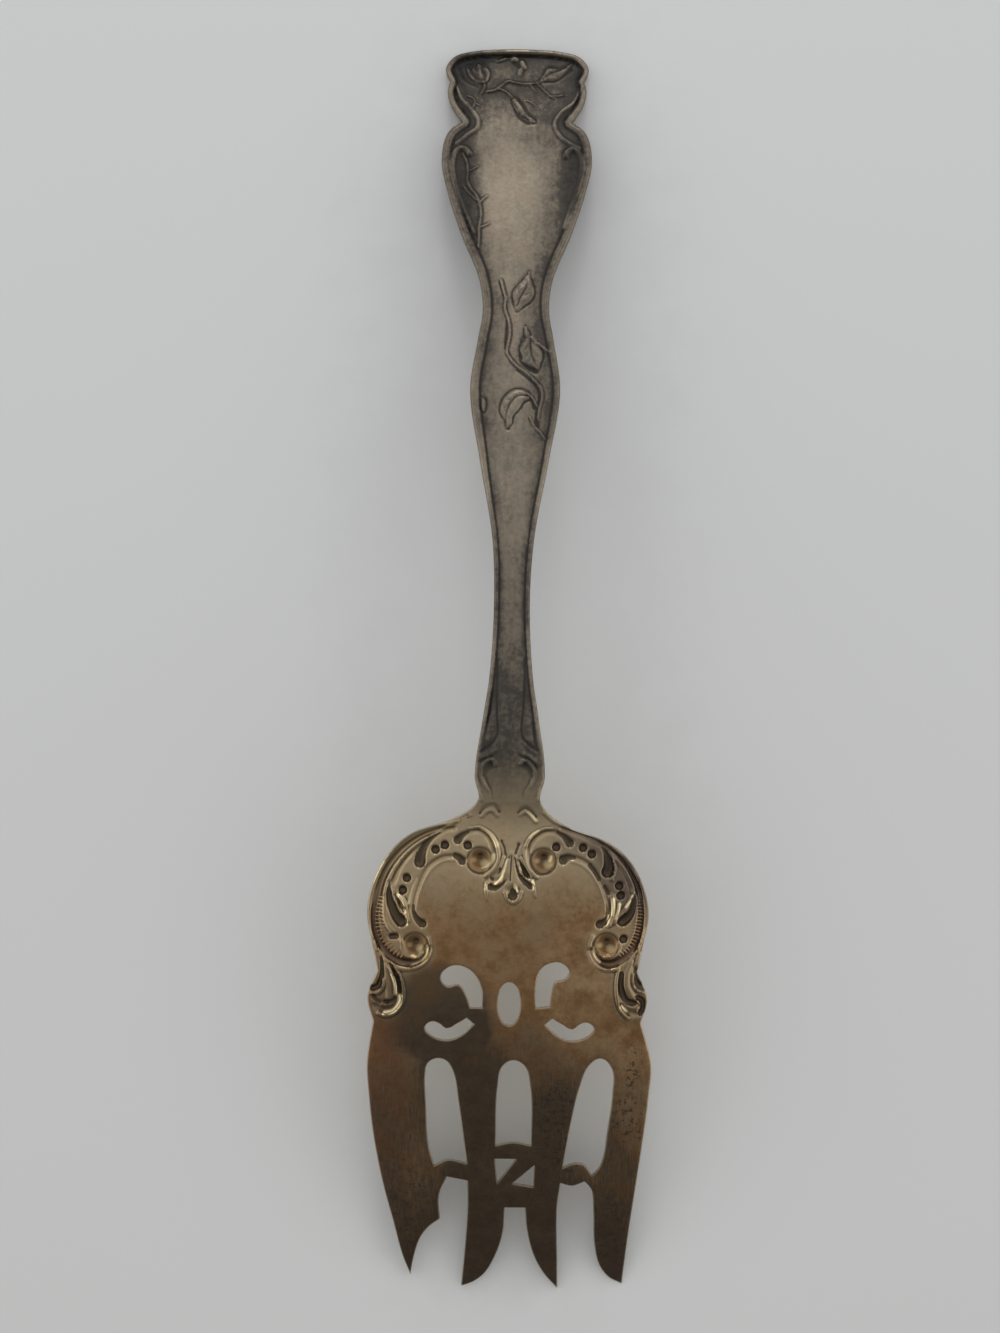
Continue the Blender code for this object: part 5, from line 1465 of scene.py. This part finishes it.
# painted highlights: paler spots on the left tine and on the bar beside the right slot
painted_tine_highlights = gold.stain((-0.0150, -0.0880), (0.004, 0.008))
painted_tine_highlights = painted_tine_highlights + gold.stain((0.0125, -0.0895), (0.0045, 0.0025))
ears = gold.stain((-0.0218, -0.0550), (0.0034, 0.0048))
ears = ears + gold.stain((0.0215, -0.0560), (0.0034, 0.0055))
left_stain = gold.stain((-0.0125, -0.0598), (0.0105, 0.0080), 0.85, 1.6)
low_stain = gold.stain((-0.0080, -0.0710), (0.0075, 0.0120), 1.3, 1.4)
right_clean = gold.stain((0.015, -0.056), (0.009, 0.013))
outer_right = gold.stain((0.0235, -0.074), (0.006, 0.011))
outer_left = gold.stain((-0.0225, -0.075), (0.006, 0.017))
# right shoulder: grey film together with a painted dark reflection where the band tilts to the right
right_film_and_painted_reflection = gold.stain((0.0210, -0.0325), (0.0065, 0.0095))
top_grey = gold.stain((0.0130, -0.0285), (0.0065, 0.0030))
middle = gold.stain((0.0, -0.092), (0.0125, 0.030))
pitted = gold.stain((0.0217, -0.0690), (0.0014, 0.0042))
pitted = pitted + gold.stain((0.0210, -0.0790), (0.0030, 0.0040))
pitted = pitted + gold.stain((0.0090, -0.0800), (0.0040, 0.0090))
pitted = pitted + 0.4 * gold.stain((-0.0185, -0.0950), (0.0040, 0.0090))
pitted = pitted + gold.stain((0.0180, -0.1020), (0.0030, 0.0080))
print("gold nodes with stains:", len(gold.tree.nodes))

# %% Tarnish and pits of the gold
tarnish = 0.08 + (0.72 + 0.9 * (scratch - 0.5)) * tine_dark + 0.70 * left_stain + 0.45 * low_stain
tarnish = tarnish + 1.1 * (cloud - 0.5) + 0.7 * (blotch - 0.5)
tarnish = tarnish + 0.15 * flute - 0.15 * crest + 0.6 * seam_dark + 0.3 * (speckle - 0.5) + 0.25 * middle
tarnish = tarnish + 0.40 * tip_dark - 0.2 * painted_tine_highlights - 0.3 * right_clean
tarnish = tarnish - 0.45 * outer_right - 0.25 * outer_left
tarnish = tarnish.clamped() * (1.0 - 0.7 * under)
pit_field = (0.08 + 1.1 * pitted + 0.18 * tine_dark - under).clamped()
pits = gold.noise(1000.0, 5.0, 0.72).step(0.510, 0.590) * pit_field
black = (hollow.step(0.08, 0.6) + 0.9 * pits).clamped()
print("gold nodes with tarnish and pits:", len(gold.tree.nodes))

# %% Coats of the gold
bright = blotch.step(0.25, 0.75).blend(colour(0.46, 0.36, 0.22), colour(0.60, 0.49, 0.32))
brown = blotch.step(0.3, 0.7).blend(colour(0.205, 0.112, 0.051), colour(0.330, 0.203, 0.104))
wash = 0.60 * pale_top + 0.15 * crest + 0.9 * (cloud - 0.5) + 0.6 * (speckle - 0.5)
wash = wash + 0.10 * right_clean + 0.5 * under + 0.02
DARK_GREY_TONE = (0.105, 0.082, 0.068)
gold_coats = {
    "struck metal": (0.45 * worked.step(0.1, 0.5), (0.44, 0.355, 0.225)),
    "flutes": (0.6 * flute, (0.34, 0.245, 0.140)),
    "painted shade on steep sides": (0.4 * slope, (0.12, 0.085, 0.048)),
    "floors of the flutes": (0.85 * dish.step(0.50, 0.80) * flute, (0.115, 0.068, 0.050)),
    "cups": (0.9 * gilded, (0.175, 0.092, 0.033)),
    "ears": (0.45 * ears, (0.13, 0.092, 0.055)),
    "left outer tine": (0.55 * outer_left, (0.150, 0.070, 0.042)),
    "tarnish": (0.85 * tarnish, (0.038, 0.033, 0.027)),
    "grey film and painted dark reflection on the right shoulder": (0.8 * right_film_and_painted_reflection, DARK_GREY_TONE),
    "grey top": (0.5 * top_grey, DARK_GREY_TONE),
    "black hollows": (0.85 * black, (0.034, 0.022, 0.012)),
    "pits": (0.4 * pits, (0.012, 0.010, 0.008)),
    # edges: worn gold together with a painted highlight on lit walls and rims
    "bare edges with painted highlight": (0.7 * edge, (0.60, 0.55, 0.46)),
    "bright front": (0.85 * under * gold.y.step(-0.094, -0.070), (0.83, 0.65, 0.36)),
    # painted highlights: light gold strokes where the crests, rims and cups shine
    "painted highlights on crests and cups": (0.75 * polished, (0.90, 0.74, 0.44)),
}
roughness = 0.28 + 0.16 * tarnish + 0.14 * black + 0.10 * (scratch - 0.5)
gold.feed(
    Base_Color=coated(wash.clamped().blend(brown, bright), gold_coats),
    Metallic=1.0 - 0.3 * black,
    Roughness=roughness - 0.08 * crest - 0.14 * polished,
    Normal=gold.bumped(0.5 * grain + 0.4 * scratch + 0.4 * speckle - 0.8 * pits),
)
head.data.materials.append(gold.material)
print("gold nodes:", len(gold.tree.nodes))

# %% [markdown]
# ## Solder
# The seam at the neck shows as a hair line of duller, mottled silver solder. It is so thin that one noise
# between two greys is enough.

# %% Solder
solder = Finish("silver_solder_finish")
mottle = solder.noise(600.0, 4.0)
solder.feed(
    Base_Color=mottle.blend(colour(0.13, 0.108, 0.078), colour(0.20, 0.165, 0.118)),
    Metallic=1.0,
    Roughness=0.38 + 0.15 * mottle,
)
film.data.materials.append(solder.material)
print("solder nodes:", len(solder.tree.nodes))

# %% [markdown]
# ## Stems and ribs
# The stems and the ribs follow paths, so each kind is one Geometry Nodes tree that runs along them: a
# stem is a round profile swept along its path, and a rib is a small flattened ball set again and again
# across its path. Modelling each by hand would work too, but the trees keep the sizes as named inputs.
# The paths lie on the fork's back, so the lower half of every stem and rib is buried in the metal, as a
# struck line is.

# %% Paths as edges
STEM_TAPER = 0.7


def path_holder(name, paths, sizes):
    """Object with paths on the fork's back as chains of edges, and a size at every point."""
    first, edges = 0, []
    for path in paths:
        edges += [(first + k, first + k + 1) for k in range(len(path) - 1)]
        first += len(path)
    plan = np.concatenate(paths)
    mesh = bpy.data.meshes.new(name)
    mesh.from_pydata((np.column_stack([plan, back(plan)]) * MM).tolist(), edges, [])
    note(mesh, "size", np.concatenate(sizes) * MM)
    holder = bpy.data.objects.new(name, mesh)
    bpy.context.scene.collection.objects.link(holder)
    return holder


stem_paths, stem_sizes = [], []
for knots, width in STEMS.values():
    stem_paths.append(trace(knots, 0.25))
    stem_sizes.append(width * np.linspace(1.0, STEM_TAPER, len(stem_paths[-1])))
stems = path_holder("sprig_stems", stem_paths, stem_sizes)
print("points on the stems' paths:", len(stems.data.vertices))


# %% A tree with named inputs
class Tree:
    """A Geometry Nodes tree with named inputs, which turns a holder into a finished piece."""

    def __init__(self, name, inputs):
        self.group = bpy.data.node_groups.new(name, "GeometryNodeTree")
        sides = self.group.interface
        sides.new_socket("Geometry", in_out="OUTPUT", socket_type="NodeSocketGeometry")
        sides.new_socket("Geometry", in_out="INPUT", socket_type="NodeSocketGeometry")
        made = {}
        for label, kind in inputs.items():
            made[label] = sides.new_socket(label, in_out="INPUT", socket_type=kind)
        self.identifiers = {label: socket.identifier for label, socket in made.items()}
        self.start = Wire(self.group)
        entry = self.group.nodes.new("NodeGroupInput")
        self.given = {socket.name: Wire(self.group, socket) for socket in entry.outputs if socket.name}
        kind = {"data_type": "FLOAT"}
        self.size = self.start.node("GeometryNodeInputNamedAttribute", kind, {"Name": "size"})

    def end(self, shape):
        """Close the tree: smooth, plain geometry with its crest value and its finish."""
        smooth = self.start.node("GeometryNodeSetShadeSmooth", {}, {"Geometry": shape})
        whole = self.start.node("GeometryNodeRealizeInstances", {}, {"Geometry": smooth})
        sockets = {"Geometry": whole, "Name": "crest", "Value": self.given["Polish"]}
        proud = self.start.node("GeometryNodeStoreNamedAttribute", {"data_type": "FLOAT"}, sockets)
        sockets = {"Geometry": proud, "Material": self.given["Finish"]}
        painted = self.start.node("GeometryNodeSetMaterial", {}, sockets)
        leave = self.group.nodes.new("NodeGroupOutput")
        self.group.links.new(painted.socket, leave.inputs["Geometry"])

    def run(self, holder, slot, values):
        """Run the tree on a holder, which keeps the result as its plain mesh."""
        modifier = holder.modifiers.new(self.group.name, "NODES")
        modifier.node_group = self.group
        for label, value in values.items():
            modifier[self.identifiers[label]] = value
        evaluated = holder.evaluated_get(bpy.context.evaluated_depsgraph_get())
        mesh = bpy.data.meshes.new_from_object(evaluated)
        holder.modifiers.clear()
        holder.data = mesh
        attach(holder, "root")
        print(holder.name, "triangles:", sum(len(face.vertices) - 2 for face in mesh.polygons))


FINISHING = {"Polish": "NodeSocketFloat", "Finish": "NodeSocketMaterial"}
stem_tree = Tree("swept_stems", {"Sides": "NodeSocketInt", "Thickness": "NodeSocketFloat", **FINISHING})
print("inputs of the stem tree:", list(stem_tree.given))

# %% [markdown]
# ## Swept stems
# Mesh to Curve turns the chains of edges into curves, and Curve to Mesh sweeps a circle along them. The
# size kept at each point thins a stem toward its end.

# %% Stems swept along their paths
lines = stem_tree.start.node("GeometryNodeMeshToCurve", {}, {"Mesh": stem_tree.given["Geometry"]})
sockets = {"Resolution": stem_tree.given["Sides"], "Radius": 0.5}
profile = stem_tree.start.node("GeometryNodeCurvePrimitiveCircle", {}, sockets)
sockets = {"Curve": lines, "Profile Curve": profile, "Fill Caps": True}
sockets["Scale"] = stem_tree.size * stem_tree.given["Thickness"]
stem_tree.end(stem_tree.start.node("GeometryNodeCurveToMesh", {}, sockets))
values = {"Sides": 12, "Thickness": 1.0, "Polish": 0.2, "Finish": silver.material}
stem_tree.run(stems, "tarnished_silver", values)

# %% [markdown]
# ## Set ribs
# The row's path becomes evenly spaced points, and a small ball is set on each, turned with the path. It
# is scaled to a rib's length, width and height, so one ball gives all the ribs.

# %% Ribs set across their paths
rib_sizes = {"Count": "NodeSocketInt", "Rib Width": "NodeSocketFloat", "Rib Height": "NodeSocketFloat"}
rib_tree = Tree("set_ribs", {**rib_sizes, **FINISHING})
lines = rib_tree.start.node("GeometryNodeMeshToCurve", {}, {"Mesh": rib_tree.given["Geometry"]})
sockets = {"Curve": lines, "Count": rib_tree.given["Count"]}
spots = rib_tree.start.node("GeometryNodeCurveToPoints", {"mode": "COUNT"}, sockets)
tangent = Wire(rib_tree.group, spots.socket.node.outputs["Tangent"])
settings = {"axis": "Y", "pivot_axis": "Z"}
turn = rib_tree.start.node("FunctionNodeAlignRotationToVector", settings, {"Vector": tangent})
ball = rib_tree.start.node("GeometryNodeMeshIcoSphere", {}, {"Radius": 0.5, "Subdivisions": 2})
sockets = {"X": rib_tree.size, "Y": rib_tree.given["Rib Width"], "Z": rib_tree.given["Rib Height"]}
scale = rib_tree.start.node("ShaderNodeCombineXYZ", {}, sockets)
sockets = {"Points": spots, "Instance": ball, "Rotation": turn, "Scale": scale}
rib_tree.end(rib_tree.start.node("GeometryNodeInstanceOnPoints", {}, sockets))
rib_paths = [trace(knots, 0.2) for knots in RIB_ROWS]
ribs = path_holder("bend_ribs", rib_paths, [rib_lengths(len(path)) for path in rib_paths])
values = {"Count": RIB_COUNT, "Rib Width": RIB_WIDTH * MM, "Rib Height": RIB_HEIGHT * MM}
rib_tree.run(ribs, "worn_gold_wash", {**values, "Polish": 0.6, "Finish": gold.material})

# %% [markdown]
# ## Soft light
# Metal shows the room more than its own colour. The room is bright past the handle end and dim behind the
# tines, so the handle, which slopes to the bright side, is pale and the head is dark. A world that fades
# along Y gives this without hard spots, and a glow from left and right lights the edges. The camera
# itself sees a plain pale backdrop in place of the sky. One soft lamp adds the shine on crests.

# %% Room
ROOM_STRENGTH = 0.95
DIM_SIDE, BRIGHT_SIDE = colour(0.34, 0.33, 0.315), colour(1.0, 1.02, 1.04)
SIDE_GLOW, BACKDROP = colour(1.5, 1.5, 1.48), colour(0.60, 0.605, 0.61)
world = bpy.data.worlds.new("pale_room")
bpy.context.scene.world = world
world.use_nodes = True
sky = Wire(world.node_tree)
toward = sky.node("ShaderNodeTexCoord", {}, {}, "Generated")
toward_end = sky.node("ShaderNodeSeparateXYZ", {}, {"Vector": toward}, "Y")
toward_right = Wire(sky.tree, toward_end.socket.node.outputs["X"])
toward_top = Wire(sky.tree, toward_end.socket.node.outputs["Z"])
bright_side = 0.75 * toward_end + 0.3 * toward_top
glow = bright_side.step(-0.55, 0.8).blend(DIM_SIDE, BRIGHT_SIDE)
sideways = toward_right * toward_right
glow = sideways.step(0.15, 0.75).blend(glow, SIDE_GLOW)
seen = sky.node("ShaderNodeLightPath", {}, {}, "Is Camera Ray")
glow = seen.blend(glow, BACKDROP)
room = world.node_tree.nodes["Background"]
world.node_tree.links.new(glow.socket, room.inputs["Color"])
room.inputs["Strength"].default_value = ROOM_STRENGTH
print("room nodes:", len(world.node_tree.nodes))


# %% Lamp
def soft_lamp(name, place, size, power, tint):
    """Rectangular lamp that faces the middle of the fork."""
    lamp = bpy.data.lights.new(name, "AREA")
    lamp.shape = "RECTANGLE"
    lamp.size, lamp.size_y = size
    lamp.energy = power
    lamp.color = tint
    holder = bpy.data.objects.new(name, lamp)
    holder.location = place
    holder.rotation_euler = (-Vector(place)).to_track_quat("-Z", "Y").to_euler()
    bpy.context.scene.collection.objects.link(holder)


soft_lamp("window_lamp", (0.0, 1.0, 0.55), (0.22, 0.22), 1.5, (1.0, 0.98, 0.95))

# %% [markdown]
# ## Table top
# The table is a plain pale laminate. A faint cloudiness keeps it from looking like paper, and it is a
# little greyer near the fork, for the soft shade in the photograph that this simple room doesn't give.

# %% Table finish
laminate = Finish("pale_table_finish")
mottle = laminate.noise(3.0, 3.0)
# painted light: the table is darker and warmer toward the tines and paler toward the handle end
painted_light_falloff = laminate.y.step(-0.25, 0.25)
near = laminate.stain((0.0, 0.0), (0.030, 0.110), SOFT)
near = near + 0.5 * laminate.stain((0.0, 0.085), (0.032, 0.032), SOFT)
near = near + laminate.stain((0.0, -0.099), (0.021, 0.014), SOFT)
pale = (0.4 * mottle + 0.8 * painted_light_falloff - 0.1).blend(colour(0.530, 0.530, 0.518), colour(0.622, 0.630, 0.638))
laminate.feed(
    Base_Color=(0.10 * near).blend(pale, colour(0.21, 0.21, 0.20)),
    Roughness=0.55,
)
table.data.materials.append(laminate.material)
print("table nodes:", len(laminate.tree.nodes))
